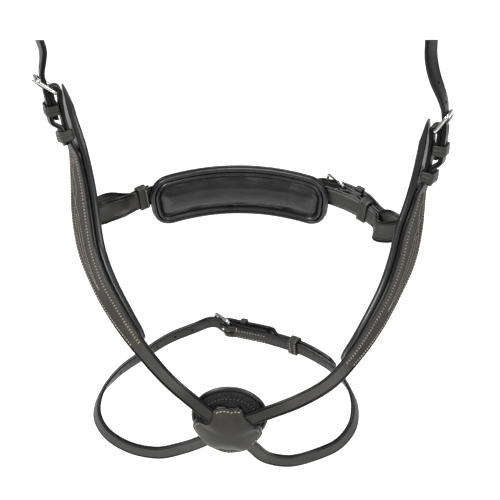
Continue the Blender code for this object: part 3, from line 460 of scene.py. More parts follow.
def punch(route, s, lift=0.0):
    """A punched round hole through the strap at place s."""
    r = HOLE_ACROSS / 2
    outline = [(r * math.cos(math.pi * k / 8), r * math.sin(math.pi * k / 8)) for k in range(16)]
    return prism(route, s, outline, lift - PUNCH_REACH, lift + PUNCH_REACH)


def realise(piece):
    """The piece with its evaluated mesh in place of its modifiers."""
    whole = piece.evaluated_get(bpy.context.evaluated_depsgraph_get())
    mesh = bpy.data.meshes.new_from_object(whole)
    piece.modifiers.clear()
    piece.data = mesh
    return piece


def cut(piece, shapes):
    """Takes closed shapes, given as (points, faces), out of the piece."""
    for points, faces in shapes:
        cutter = make("cutter", points, faces, piece.data.materials[0])
        boolean = piece.modifiers.new("cut", 'BOOLEAN')
        boolean.operation = 'DIFFERENCE'
        boolean.solver = 'MANIFOLD'
        boolean.object = cutter
        realise(piece)
        bpy.data.objects.remove(cutter, do_unlink=True)
    piece.data.set_sharp_from_angle(angle=SHARP)


class Buckling:
    """How a chape, a billet and a buckle lie at one place on a route.

    The chape comes from the start of the route, goes round the pivot bar and back over itself.
    The billet comes from the far side, under the far bar, over the pivot bar and under the keepers;
    room is what it leaves over the chape for the inner wall of a keeper that is sewn on there, and
    inner is what the chape's own two layers leave for one.
    """

    WIRE = 1.6                          # radius of the buckle's wire
    TONGUE_WIRE = 1.1
    BAR_EASE = 0.5
    BEND = 10.0                         # over which a strap rises to the bar
    TONGUE_PAST = 2.0

    def __init__(self, route, place, chape, billet, base=0.0, room=0.0, inner=0.0, far_bar=(19.0, 8.0),
                 far_ease=EASE, hole=(-1.5, 12.5)):
        self.route, self.place, self.chape, self.billet, self.base = route, place, chape, billet, base
        self.far, self.rise = far_bar       # along the strap and outward, from the pivot bar
        self.tilt = math.atan2(self.rise, self.far)
        self.hole = hole
        self.radius = self.WIRE + self.BAR_EASE + chape / 2
        self.bar = base + (chape + LAID + inner) / 2
        self.back = base + chape + LAID + inner
        self.over = self.back + (chape + billet) / 2 + LAID + room
        self.crest = max(self.over, self.bar + self.radius + (chape + billet) / 2 + LAID)
        self.under = self.bar + self.rise - self.WIRE - far_ease - billet / 2
        self.bottom = self.over - billet / 2
        self.top = self.over + billet / 2

    def chape_places(self, start, sewn):
        low, high = self.bar - self.radius, self.bar + self.radius
        bend = self.place - self.BEND
        return (run((start, self.base), (bend, self.base), (self.place, low)) + turn(self.place, low, high)
                + run((self.place, high), (bend, self.back), (self.place - sewn, self.back)))

    def billet_places(self, tip, sewn, low=None, dive=10.0):
        """From under the far bar to the tip; past the chape's end it comes down to the lift low."""
        end = self.place - sewn - self.WIRE
        low = self.back if low is None else low
        return run((self.place + self.far, self.under), (self.place, self.crest),
                   (self.place - self.BEND, self.over), (end, self.over), (end - dive, low), (tip, low))

    def chape_slot(self):
        half = self.TONGUE_WIRE + EASE
        reach = self.radius + self.chape
        outline = [(-reach, -half), (reach, -half), (reach, half), (-reach, half)]
        return prism(self.route, self.place, outline, self.bar - reach, self.bar + reach)

    def tongue_hole(self):
        return prism(self.route, self.place, slot_outline(*self.hole, 2 * (self.TONGUE_WIRE + EASE)),
                     self.bar, self.crest + self.billet)

    def tilted(self, s, out, w):
        """A point in the buckle's own plane, which leans outward from the strap about the pivot bar."""
        c, n = math.cos(self.tilt), math.sin(self.tilt)
        centre, along, outward, side = self.route.frame(self.place)
        return centre + along * (s * c - out * n) + outward * (self.bar + s * n + out * c) + side * w


KEEPER_WALL = 1.8
CHIN_BAR_FROM_END = 22.0
CHIN_RETURN = 42.0
CHIN_TIP = 122.0
CHIN_HOLES = (4.0, 24.0, 47.0, 71.0, 97.0)
CROWN_THICK = 4.4                       # two layers, sewn
CROWN_WIDTH = 15.0
CROWN_RETURN = 26.0
LEFT_NECK = 65.0                        # where the cheek's face narrows to the strap's top end
RIGHT_NECK = 71.0
NECK_RUN = 6.0                          # over which it narrows, and rises
NECK_LIFT = 2.4                         # of the top end over the cheek's line, for a keeper's wall
LEFT_CROWN = [(-158.4, 162.8, 262, 195, 0), (-162.3, 165.2, 273.5, 198, 0), (-166.1, 167.8, 283.1, 205, 0),
              (-168.7, 170, 291.7, 210, 0)]
RIGHT_CROWN = [(179.8, 159, 229.4, 344, 0), (178.6, 161, 240.9, 337, 0), (175.9, 164, 260, 323, 0),
               (174.8, 167, 277.5, 319, 0), (175, 170, 291.7, 319, 0)]
left_cross = Route([station(*s) for s in LEFT_CROSS])
right_cross = Route([station(*s) for s in RIGHT_CROSS])
sewn_room = KEEPER_WALL + EASE


def crown_buckling(cross, neck, bar, stations, far_bar, far_ease, hole):
    """The side buckle's place: on the cross strap's top end, which goes on up as the headpiece's way.

    bar is the pivot bar's place on the cross strap, and hole is where the billet's tongue hole starts
    and ends beside the bar.
    """
    steps = [(neck, 0.0, cross.width(neck)), (neck - NECK_RUN, NECK_LIFT * 0.55, CROWN_WIDTH * 1.2)]
    steps += [(mix(neck - 2 * NECK_RUN, bar, k / 4), NECK_LIFT * share, CROWN_WIDTH)
              for k, share in enumerate((1.0, 1.0, 1.0, 0.75, 0.5))]
    route = Route([cross.key(*step) for step in steps] + [station(*s, CROWN_WIDTH) for s in stations])
    pivot = cross.point(bar)
    place = min(route.along, key=lambda s: np.linalg.norm(route.point(s) - pivot))
    return Buckling(route, place, CROSS_THICK, CROWN_THICK, inner=sewn_room, far_bar=far_bar,
                    far_ease=far_ease, hole=hole)


def top_chape(hang):
    """Rows of a cross strap's top end, from where it is sewn down, round the pivot bar, to the cheek."""
    return list(reversed(lay(hang.route, hang.chape_places(0.0, CROWN_RETURN), way=-1)))


left_hang = crown_buckling(left_cross, LEFT_NECK, bar=5.0, stations=LEFT_CROWN, far_bar=(15.0, 14.5),
                           far_ease=3.5, hole=(-5.0, 9.5))
right_hang = crown_buckling(right_cross, RIGHT_NECK, bar=10.0, stations=RIGHT_CROWN, far_bar=(17.0, 11.0),
                            far_ease=EASE, hole=(-4.5, 13.5))
chin = Buckling(left_cross, left_cross.length - CHIN_BAR_FROM_END, CROSS_THICK, CROSS_THICK, room=sewn_room,
                hole=(-3.5, 13.0))

left_rows = top_chape(left_hang) + lay(left_cross, chin.chape_places(LEFT_NECK + NECK_RUN, CHIN_RETURN))
left_strap = strap("left_strap_leather", left_rows, CROSS_THICK)
cut(left_strap, [left_hang.chape_slot(), chin.chape_slot()])
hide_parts("left_cross_strap")

right_rows = top_chape(right_hang)
right_rows += lay(right_cross, run((RIGHT_NECK + NECK_RUN, 0.0), (right_cross.length, 0.0)))
right_rows += lay(left_cross, chin.billet_places(chin.place - CHIN_TIP, CHIN_RETURN), way=-1)
right_strap = strap("right_strap_leather", pointed(right_rows), CROSS_THICK)
cut(right_strap, [right_hang.chape_slot(), chin.tongue_hole()]
    + [punch(right_cross, right_cross.length - s) for s in CHIN_HOLES])
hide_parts("right_cross_strap")
for piece in (left_strap, right_strap):
    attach(piece, "noseband")

# Stitching: waxed linen thread, one short twisted stitch after another, each pulled down at its holes. The
# rows that stand out are beige; dark rows are grey, smoke-coloured or black.
STITCH_PITCH = 2.7
STITCH_LONG = 2.1
STITCH_THICK = 0.62
STITCH_LIFT = 0.12                      # of a stitch's middle over the leather
LINE_STEP = 1.2                         # between the points of a line of stitches


def linen(name, colour):
    """Thread whose fibres are painted darker where their bump sinks, as painted shade in the hollows of the
    twist.
    """
    return painted(name, {
        "shader": ("Principled BSDF", {"Roughness": 0.62, "Sheen Weight": 0.2}),
        "place": ("ShaderNodeTexCoord", {}),
        "strand": ("ShaderNodeTexNoise", {"Scale": 900.0}),
        "tone": ("ShaderNodeValToRGB", {"ramp": ((0.25, [c * 0.55 for c in colour]), (0.7, colour))}),
        "twist": ("ShaderNodeBump", {"Strength": 0.6, "Distance": 0.0002})}, """
        place.Object > strand.Vector, strand.Fac > tone.Fac, tone.Color > shader.Base Color,
        strand.Fac > twist.Height, twist.Normal > shader.Normal""")


beige_thread = linen("beige_thread", (0.60, 0.50, 0.34))
grey_thread = linen("grey_thread", (0.07, 0.07, 0.066))
smoke_thread = linen("smoke_thread", (0.15, 0.15, 0.145))
black_thread = linen("black_thread", (0.022, 0.021, 0.018))


def tree_of(name, inputs, parts, joins):
    """A Geometry Nodes tree with named inputs, made of a table of nodes between "start" and "end"."""
    tree = bpy.data.node_groups.new(name, 'GeometryNodeTree')
    for label, kind in {"Geometry": "Geometry", **inputs}.items():
        tree.interface.new_socket(label, in_out='INPUT', socket_type="NodeSocket" + kind)
    tree.interface.new_socket("Geometry", in_out='OUTPUT', socket_type="NodeSocketGeometry")
    wire(tree, {"start": ("NodeGroupInput", {}), **parts, "end": ("NodeGroupOutput", {})}, joins)
    return tree


def grown(piece, tree, values):
    """The piece as a tree makes it from values for its named inputs."""
    growth = piece.modifiers.new(tree.name, 'NODES')
    growth.node_group = tree
    for item in tree.interface.items_tree:
        if item.in_out == 'INPUT' and item.name in values:
            growth[item.identifier] = values[item.name]
    return realise(piece)


# one stitch at each pitch along a line, turned to the line and its face, slanted and moved ahead
stitch_rows = tree_of("stitch_rows", {
    "Pitch": "Float", "Long": "Float", "Thick": "Float", "Slant": "Float", "Ahead": "Float",
    "Thread": "Material"}, {
    "line": ("GeometryNodeMeshToCurve", {}),
    "spread": ("GeometryNodeResampleCurve", {"mode": 'LENGTH'}),
    "bead": ("GeometryNodeMeshUVSphere", {"Segments": 8, "Rings": 6, "Radius": 0.5}),
    "size": ("ShaderNodeCombineXYZ", {}),
    "ahead": ("ShaderNodeCombineXYZ", {}),
    "shaped": ("GeometryNodeTransform", {}),
    "along": ("GeometryNodeInputTangent", {}),
    "outward": ("GeometryNodeInputNamedAttribute", {"data_type": 'FLOAT_VECTOR', "Name": "outward"}),
    "axes": ("FunctionNodeAxesToRotation", {"primary_axis": 'X', "secondary_axis": 'Z'}),
    "slant": ("ShaderNodeCombineXYZ", {}),
    "lean": ("FunctionNodeEulerToRotation", {}),
    "turned": ("FunctionNodeRotateRotation", {"rotation_space": 'LOCAL'}),
    "sewn": ("GeometryNodeInstanceOnPoints", {}),
    "real": ("GeometryNodeRealizeInstances", {}),
    "dressed": ("GeometryNodeSetMaterial", {}),
    "smooth": ("GeometryNodeSetShadeSmooth", {})}, """
    start.Geometry > line.Mesh, line.Curve > spread.Curve, start.Pitch > spread.Length,
    start.Long > size.X, start.Thick > size.Y, start.Thick > size.Z, start.Ahead > ahead.X,
    bead.Mesh > shaped.Geometry, size.Vector > shaped.Scale, ahead.Vector > shaped.Translation,
    along.Tangent > axes.Primary Axis, outward.Attribute > axes.Secondary Axis,
    start.Slant > slant.Z, slant.Vector > lean.Euler,
    axes.Rotation > turned.Rotation, lean.Rotation > turned.Rotate By,
    spread.Curve > sewn.Points, shaped.Geometry > sewn.Instance, turned.Rotation > sewn.Rotation,
    sewn.Instances > real.Geometry, real.Geometry > dressed.Geometry, start.Thread > dressed.Material,
    dressed.Geometry > smooth.Geometry, smooth.Geometry > end.Geometry""")


def sew(name, lines, body, thread=beige_thread, pitch=STITCH_PITCH, long=STITCH_LONG, thick=STITCH_THICK,
        slant=0.0, ahead=0.0):
    """Rows of stitches along lines of (point, way out) in millimetres, as one piece on a body."""
    verts, outs, edges = [], [], []
    for line in lines:
        first = len(verts)
        verts += [tuple((point - NOSE_TO_CROWN) * MM) for point, _ in line]
        outs += [tuple(out) for _, out in line]
        edges += [(first + k, first + k + 1) for k in range(len(line) - 1)]
    mesh = bpy.data.meshes.new(name)
    mesh.from_pydata(verts, edges, [])
    outward = mesh.attributes.new("outward", 'FLOAT_VECTOR', 'POINT')
    outward.data.foreach_set("vector", np.array(outs, np.float32).ravel())
    piece = bpy.data.objects.new(name, mesh)
    bpy.context.collection.objects.link(piece)
    grown(piece, stitch_rows, {"Pitch": pitch * MM, "Long": long * MM, "Thick": thick * MM, "Slant": slant,
                               "Ahead": ahead * MM, "Thread": thread})
    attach(piece, body)


def stitch_line(route, start, end, across, lift, face=1):
    """Points along a strap's outer face, or with face -1 its inner one; across may be a function."""
    count = max(2, int(abs(end - start) / LINE_STEP))
    line = []
    for k in range(count + 1):
        u = k / count
        s = mix(start, end, u)
        side = across(u, s) if callable(across) else across
        line.append((route.point(s, lift, side), route.frame(s)[2] * face))
    return line


# Ornament of the cheeks: beige rows along both edges of the face, with black beads between the stitches as
# painted shade in the awl holes; the front one turns into a chain of slanted pairs beside grey rows. Between
# them two waving rows cross and lower down run side by side with a third, over a ground of black rows.
EDGE_ROW_IN = 3.0                       # of the rear row from the face's rear edge
FRONT_ROW_IN = 8.0                      # of the front row from the face's front edge, at most
FRONT_ROW_SHARE = 0.3                   # of the width, where that is less
LEFT_CHEEK_END = 256.5                  # where the face has narrowed to the strap
RIGHT_CHEEK_END = 246.0
REAR_ROW_FROM = 57.0
FRONT_ROW_FROM = 64.0
BAND_FROM = 80.0
BAND_ROWS_IN = (3.4, 4.6, 5.6)
FULL_WIDTH = 26.0                       # of a cheek whose grey rows keep their whole distance
CHAIN_FROM = 108.0                      # where the front row becomes a chain of slanted stitches
CHAIN_WIDE = 1.2
EDGE_PITCH = 2.9
SPREAD_FROM = 0.42                      # share of the ornament past which its rows run side by side
SPREAD_OVER = 0.14
WAVE_TURNS = 4.5                        # half turns
WAVE_MIDDLE = (0.22, 0.15)              # at the start and the end, in shares of the width like the next three
WAVE_SWING = 0.1
WAVE_APART = 0.16
GROUND_MIDDLE = 0.13
GROUND_SHARES = np.linspace(-0.27, 0.24, 11)
SEWN_FACE = CROSS_THICK / 2 + STITCH_LIFT


def rear_row(route, rear):
    """Places across the face of a row beside its rear edge; rear is 1 or -1, the rear's side."""
    return lambda u, s: rear * (route.width(s) / 2 - EDGE_ROW_IN)


def front_row(route, rear, off=0.0):
    """A row beside the front edge, moved off towards it."""
    return lambda u, s: -rear * (
        route.width(s) / 2 - min(FRONT_ROW_IN, route.width(s) * FRONT_ROW_SHARE) + off)


def band_row(route, rear, inward):
    """A grey row, so far inward of the front edge."""
    return lambda u, s: -rear * (route.width(s) / 2 - inward * min(1.0, route.width(s) / FULL_WIDTH))


def ground_row(route, rear, share):
    """A row of the ground, at a share of the width that shrinks towards the ornament's end."""
    return lambda u, s: rear * (GROUND_MIDDLE + share * (1 - 0.8 * u ** 3)) * route.width(s)


def wave_row(route, rear, swing, lower, first=0.0):
    """A row that waves with a swing, then keeps its distance lower; u starts at the share first."""
    def at(u, s):
        u = mix(first, 1.0, u)
        apart = min(1.0, max(0.0, (u - SPREAD_FROM) / SPREAD_OVER))
        wave = WAVE_SWING * swing * math.cos(WAVE_TURNS * math.pi * u)
        offset = mix(wave, WAVE_APART * lower * (1 - u ** 3), apart)
        return (rear * mix(*WAVE_MIDDLE, u) + offset) * route.width(s)
    return at


for side, route, rear, rows_end, start, end in (
        ("left", left_cross, 1, LEFT_CHEEK_END, 72.5, 194.5),
        ("right", right_cross, -1, RIGHT_CHEEK_END, 62.0, 184.0)):
    parted = mix(start, end, SPREAD_FROM)
    edge_rows = [stitch_line(route, REAR_ROW_FROM, rows_end - 2, rear_row(route, rear), SEWN_FACE),
                 stitch_line(route, FRONT_ROW_FROM, CHAIN_FROM, front_row(route, rear), SEWN_FACE)]
    chain_rows = [stitch_line(route, CHAIN_FROM + 1.0, rows_end + 2, front_row(route, rear, off), SEWN_FACE)
                  for off in (0.0, -CHAIN_WIDE)]
    sew(side + "_cheek_stitches", edge_rows, "noseband", pitch=EDGE_PITCH, long=1.7, thick=1.1)
    # black beads between the stitches: painted shade in the awl holes
    sew(side + "_cheek_hole_shade", edge_rows + chain_rows, "noseband", black_thread, pitch=EDGE_PITCH, long=1.3,
        thick=1.1, ahead=EDGE_PITCH / 2)
    for name, row, way in (("_chain_back", chain_rows[0], 1), ("_chain_front", chain_rows[1], -1)):
        sew(side + name, [row], "noseband", pitch=EDGE_PITCH, long=1.9, thick=0.66, slant=0.5 * way * rear)
    band = [stitch_line(route, BAND_FROM, rows_end - 4, band_row(route, rear, inward), SEWN_FACE - 0.1)
            for inward in BAND_ROWS_IN]
    sew(side + "_cheek_band", band, "noseband", grey_thread, pitch=1.7, long=1.4, thick=0.7)
    waves = [stitch_line(route, start, end, wave_row(route, rear, 1, 1.0), SEWN_FACE),
             stitch_line(route, start, end, wave_row(route, rear, -1, -1.0), SEWN_FACE),
             stitch_line(route, parted, end, wave_row(route, rear, 0.0, 0.0, SPREAD_FROM), SEWN_FACE)]
    sew(side + "_cheek_ornament", waves, "noseband", pitch=2.1, long=1.7, thick=0.7)
    ground = [stitch_line(route, start + 4, end - 6, ground_row(route, rear, share), SEWN_FACE - 0.05)
              for share in GROUND_SHARES]
    sew(side + "_cheek_ground", ground, "noseband", black_thread, pitch=1.5, long=1.3, thick=0.75)

# Cheek linings: soft leather rolled over felt, sewn behind each face and standing out past its front
# edge as a fat roll. The jaw strap runs through a slot in each.
LINING_THICK = 7.0
LINING_TIP = 1.7                        # thickness at the cheek's top
LINING_GAP = 0.5
LINING_PROUD = 3.0
LINING_TAPER = 22.0                     # over which the roll grows from its tip
LINING_FROM = 1.0
LINING_ROWS = 104
TOP_FLAP = 8.0                          # of the lining towards the rear behind the side buckle
FLAP_TO = 75.0
FLAP_FADES = 30.0                       # over which the flap narrows again
JAW_THICK = 2.6
JAW_WIDTH = 20.0
JAW_BACK_RISE = 5.0                     # of the jaw strap's back layer, away from the slot
soft_leather = leather("soft_leather", face=(0.008, 0.008, 0.009), edge=(0.005, 0.005, 0.006),
                       roughness=0.31, grain=0.12, wrinkle=0.28, shine=0.6, wax=0.12)


def lining_profile(width, thick):
    """Points (across, out, edge) round a padded lining: flat against the face, full rolls at both edges."""
    w, t = width / 2, thick / 2
    points = []
    for side in (1, -1):
        for k in range(9):
            a = math.radians(-90 + 22.5 * k)
            points.append((side * (w - t * 0.75 + t * 0.75 * math.cos(a)), side * t * math.sin(a), 0.0))
        if side > 0:
            points += [(w * x, t - 0.07 * thick, 0.0) for x in (0.5, 0.0, -0.5)]
        else:
            points += [(w * x, -t - swell * thick, 0.0)
                       for x, swell in ((-0.6, 0.03), (-0.3, 0.1), (0.0, 0.13), (0.3, 0.1), (0.6, 0.03))]
    return points


def slot_rows(cheek, place, rear, sag, proud):
    """The jaw strap's way through a cheek piece, from its front layer to its back layer.

    It goes out through a slot in the lining, rearwards between lining and face, and back in
    round the rear edge. Each place is towards the rear, out, and along in the cheek's own frame;
    sag is how far the front layer hangs at its first three, and proud how far the fold stands out.
    """
    centre, along, out, side = cheek.frame(place)
    channel = -(CROSS_THICK / 2 + LINING_GAP + JAW_THICK / 2)
    inside = -(CROSS_THICK / 2 + LINING_GAP + LINING_THICK + GAP + JAW_THICK / 2)
    bend = (channel - inside) / 2
    turn_at = cheek.width(place) / 2 - 1.0 - bend / 2 + proud
    way = [(-2.0, -36, sag[0]), (-2.0, -27, sag[1]), (-2.0, -18, sag[2]), (-2.0, -12, 0), (-2.0, -8.5, 0),
           (-0.9, channel - 1.3, 0), (1.6, channel, 0), (6, channel, 0), (turn_at - 2.5, channel, 0),
           (turn_at, channel, 0)]
    for k in range(1, 6):
        a = math.pi / 2 - math.pi * k / 6
        way.append((turn_at + bend * math.cos(a), (channel + inside) / 2 + bend * math.sin(a), 0))
    way += [(turn_at, inside, 0), (turn_at - 3.5, inside - 0.6, 0), (turn_at - 6.0, inside - 4.0, 0),
            (turn_at - 6.5, inside - 10, -JAW_BACK_RISE / 2), (turn_at - 6.5, inside - 20, -JAW_BACK_RISE)]
    return [np.concatenate([centre + side * rear * v + out * n + along * d, along, [JAW_WIDTH]])
            for v, n, d in way]


left_slot = slot_rows(left_cross, 124.5, rear=1, sag=(0.0, 0.8, 1.8), proud=3.0)
right_slot = slot_rows(right_cross, 111.0, rear=-1, sag=(6.0, 5.0, 2.0), proud=0.0)
for side, route, end, rear, slot in (("left", left_cross, LEFT_CHEEK_END, 1, left_slot),
                                     ("right", right_cross, RIGHT_CHEEK_END, -1, right_slot)):
    outer = -CROSS_THICK / 2 - LINING_GAP
    verts, edge_dye_and_shade = [], []
    for k in range(LINING_ROWS + 1):
        s = mix(LINING_FROM, end, (k / LINING_ROWS) ** 1.12)
        thick = mix(LINING_TIP, LINING_THICK, min(1.0, (s - LINING_FROM) / LINING_TAPER) ** 0.85)
        row = lay(route, [(s, outer - thick / 2)], across=-rear * LINING_PROUD / 2)[0]
        close = min(s - LINING_FROM, end - s)
        row[6] *= mix(0.72, 1.0, min(1.0, close / 9.0) ** 0.5)
        flap = TOP_FLAP * min(1.0, (s - LINING_FROM) / 14.0) * min(1.0, max(0.0, (FLAP_TO - s) / FLAP_FADES))
        row[6] += flap
        row[:3] += rear * row[3:6] * flap / 2
        _, _, out, across = route.frame(s)
        for a, b, edge in lining_profile(row[6], thick):
            verts.append(row[:3] + across * a + out * b)
            edge_dye_and_shade.append(edge)
    rolls = skin(LINING_ROWS + 1, len(verts) // (LINING_ROWS + 1))
    lining = make(side + "_lining_leather", verts, rolls, soft_leather, edge_dye_and_shade)
    way = smooth(slot, 3.0)
    way[:, 6] += 2 * EASE
    cut(lining, [sweep(way, lambda width: strap_profile(width, JAW_THICK + 2 * EASE, 0.0))[:2]])
    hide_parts(side + "_cheek_lining")
    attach(lining, "noseband")

# Headpiece ends, in two layers of bridle leather sewn together: creased, punched with holes, and cut off by
# one slanting plane. Each goes under its buckle's far bar, over the pivot bar and into two keepers.
CROWN_DIVE = 8.0                        # over which the billet comes down past the chape's end
CROWN_TIP = 8.0
STRAIGHT_END = 4.0
HEADPIECE_HOLES = (26.0, 46.0, 66.0)    # above the pivot bar
LEFT_KEEPERS = (16.5, 42.5)             # below the pivot bar: the fixed keeper and the runner
RIGHT_KEEPERS = (17.0, 43.0)
CUT_NORMAL = unit(np.array((0.0, 0.515, 0.8572)))
CUT_POINT = np.array((174.9, 170.0, 295.1))
CUT_HALF = 45.0                         # of the block that cuts the straps off
crown_seat = (CROSS_THICK + CROWN_THICK) / 2 + LAID
for side, hang, keepers in (("left", left_hang, LEFT_KEEPERS), ("right", right_hang, RIGHT_KEEPERS)):
    crown = hang.route
    tip = hang.place - keepers[1] - CROWN_TIP
    places = run((crown.length + CROWN_WIDTH, 0.0), (crown.length - STRAIGHT_END, 0.0),
                 (hang.place + hang.far, hang.under))[:-1]
    places += hang.billet_places(tip, CROWN_RETURN, crown_seat, CROWN_DIVE)
    headpiece = strap(side + "_headpiece_leather", pointed(lay(crown, places)), CROWN_THICK)
    holes = [punch(crown, hang.place + s, hang.under) for s in HEADPIECE_HOLES
             if hang.place + s < crown.length - STRAIGHT_END]
    end = crown.point(crown.length)
    foot = end + CUT_NORMAL * ((CUT_POINT - end) @ CUT_NORMAL)
    u = unit(np.cross(CUT_NORMAL, (1.0, 0.0, 0.0)))
    v = np.cross(CUT_NORMAL, u)
    low = [foot + (u * a + v * b) * CUT_HALF for a, b in ((-1, -1), (1, -1), (1, 1), (-1, 1))]
    block = (low + [p + CUT_NORMAL * CUT_HALF for p in low], skin(2, 4))
    cut(headpiece, [hang.tongue_hole(), block] + holes)
    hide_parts(side + "_headpiece_strap")
    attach(headpiece, "noseband")

# Jaw strap and its billet: one long strap of thinner bridle leather that loops through both linings and
# carries the jaw buckle, and a second one, sewn behind the jaw pad, that buckles to it.
JAW = [
    (134, 151, 108, 46, 0), (120, 164, 112, 56, 0), (102, 176, 115, 64, 0), (84, 184, 117, 72, 0),
    (44, 193, 120, 84, 0), (2, 196, 121, 90, 0), (-40, 193, 120, 96, 0), (-80, 185, 116, 106, 0),
    (-105, 170, 113, 116, 0)]
JAW_BAR = 48.0
JAW_CHAPE_LIFT = 4.8
JAW_RETURN = 18.0
JAW_TIP = 54.0
JAW_FROM = 6.0                          # of the middle run, from the right cheek
JAW_SHORT = 12.0                        # of the middle run, short of the left cheek
LAP_FROM = (4.0, 8.0)                   # of the right and left laps, from their cheeks
CHAPE_RISE = 6.0                        # over which the lap comes up to the jaw buckle
BILLET_RISE = 12.0
JAW_LAP_END = 26.5
JAW_BILLET_SEAT = 100.0
LEFT_JAW_LAP = 27.0
jaw = Route([station(*s, JAW_WIDTH) for s in JAW])
jaw_buckle = Buckling(jaw, JAW_BAR, JAW_THICK, JAW_THICK, base=JAW_CHAPE_LIFT, room=sewn_room,
                      hole=(-5.0, 12.5))
double = JAW_THICK + LAID
rising = JAW_BAR - jaw_buckle.BEND - CHAPE_RISE
chape = run((LAP_FROM[0], double), (JAW_LAP_END, double), (rising, JAW_CHAPE_LIFT))
chape = chape[:-1] + jaw_buckle.chape_places(rising, JAW_RETURN)
rows = list(reversed(lay(jaw, chape, JAW_WIDTH)))
rows += list(reversed(right_slot))
rows += lay(jaw, run((JAW_FROM, 0.0), (jaw.length - JAW_SHORT, 0.0)), JAW_WIDTH)
rows += left_slot[1:]
rows += lay(jaw, run((jaw.length - LAP_FROM[1], double), (jaw.length - LEFT_JAW_LAP, double)), JAW_WIDTH)
jaw_strap = strap("jaw_strap_leather", smooth(rows, 3.5), JAW_THICK, both=True)
cut(jaw_strap, [jaw_buckle.chape_slot()])
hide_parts("jaw_strap")
past_keeper = double + JAW_THICK + KEEPER_WALL + 2 * EASE
billet = jaw_buckle.billet_places(JAW_BAR - JAW_TIP, JAW_RETURN, past_keeper, 2 * jaw_buckle.BEND)
seat_end = JAW_BAR + jaw_buckle.far + BILLET_RISE
billet = run((JAW_BILLET_SEAT, double), (seat_end, double), billet[0]) + billet[1:]
jaw_billet = strap("jaw_billet_leather", pointed(lay(jaw, billet, JAW_WIDTH)), JAW_THICK)
cut(jaw_billet, [jaw_buckle.tongue_hole()])
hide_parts("jaw_billet")
for piece in (jaw_strap, jaw_billet):
    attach(piece, "noseband")

# Buckles: bent and polished stainless wire. The frame's pivot bar turns in its chape; the tongue is curled
# round the bar, tapers to a blunt tip and rests on the far bar.
FRAME_EASE = 1.0
FRAME_CORNER = 3.2
WIRE_SIDES = 16
steel = painted("polished_steel", {
    "shader": ("Principled BSDF", {"Metallic": 1.0, "Base Color": (0.66, 0.65, 0.62, 1.0)}),
    "place": ("ShaderNodeTexCoord", {}),
    "rub": ("ShaderNodeTexNoise", {"Scale": 180.0, "Detail": 4.0}),
    "gloss": ("ShaderNodeMapRange", {"To Min": 0.12, "To Max": 0.28})}, """
    place.Object > rub.Vector, rub.Fac > gloss.Value, gloss.Result > shader.Roughness""")


def tube(name, path, outs, sizes, closed, material):
    """A round wire along a path; outs turns its sections and sizes holds a radius for each point."""
    path, count = np.array(path), len(path)
    verts = []
    for i in range(count):
        ahead = path[(i + 1) % count] if closed else path[min(i + 1, count - 1)]
        behind = path[i - 1] if closed or i else path[0]
        along = unit(ahead - behind)
        out = unit(outs[i] - along * (outs[i] @ along))
        side = np.cross(along, out)
        for k in range(WIRE_SIDES):
            a = 2 * math.pi * k / WIRE_SIDES
            verts.append(path[i] + sizes[i] * (math.cos(a) * out + math.sin(a) * side))
    return make(name, verts, skin(count, WIRE_SIDES, closed), material)


def buckle(name, hang, width):
    """The frame and tongue of a buckle, each on its own body."""
    _, along, out, side = hang.route.frame(hang.place)
    half = width / 2 + FRAME_EASE + hang.WIRE
    r, far = FRAME_CORNER, math.hypot(hang.far, hang.rise)
    path = []
    corners = ((r, half - r, 90), (r, r - half, 180), (far - r, r - half, 270), (far - r, half - r, 0))
    for s, w, start in corners:
        for k in range(9):
            a = math.radians(start + 11.25 * k)
            path.append(hang.tilted(s + r * math.cos(a), 0.0, w + r * math.sin(a)))
    plane = unit(out * hang.far - along * hang.rise)
    frame_wire = tube(name + "_buckle_wire", path, [plane] * len(path), [hang.WIRE] * len(path), True, steel)
    curl = hang.WIRE + hang.BAR_EASE + hang.TONGUE_WIRE
    path = [hang.tilted(curl * math.cos(math.radians(a)), curl * math.sin(math.radians(a)), 0)
            for a in range(345, 92, -12)]
    rest = hang.WIRE + GAP + hang.TONGUE_WIRE
    for k in range(1, 20):
        u = k / 19
        path.append(hang.tilted((far + hang.TONGUE_PAST) * u, mix(curl, rest, u) + math.sin(math.pi * u), 0))
    sizes = [hang.TONGUE_WIRE] * (len(path) - 4) + [hang.TONGUE_WIRE * f for f in (0.97, 0.9, 0.76, 0.45)]
    tongue = tube(name + "_tongue_wire", path, [side] * len(path), sizes, False, steel)
    for piece, part in ((frame_wire, "_buckle_frame"), (tongue, "_buckle_tongue")):
        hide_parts(name + part)
        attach(piece, name + part)


for name, hang, width in (("chin", chin, CROSS_WIDTH), ("jaw", jaw_buckle, JAW_WIDTH),
                          ("left", left_hang, CROWN_WIDTH), ("right", right_hang, CROWN_WIDTH)):
    buckle(name, hang, width)

# Keepers: folded loops of bridle leather, thick and rounded, with two tooled lines that leave a raised rib in
# the middle. Fixed ones and those on the jaw strap are sewn in; runners slide.
KEEPER_SHORT = 7.0
KEEPER_LONG = 10.0
KEEPER_NEAR = 13.5
CHIN_KEEPER_FAR = 74.0
LEFT_JAW_KEEPER = 18.5
RIGHT_JAW_KEEPER = 21.0


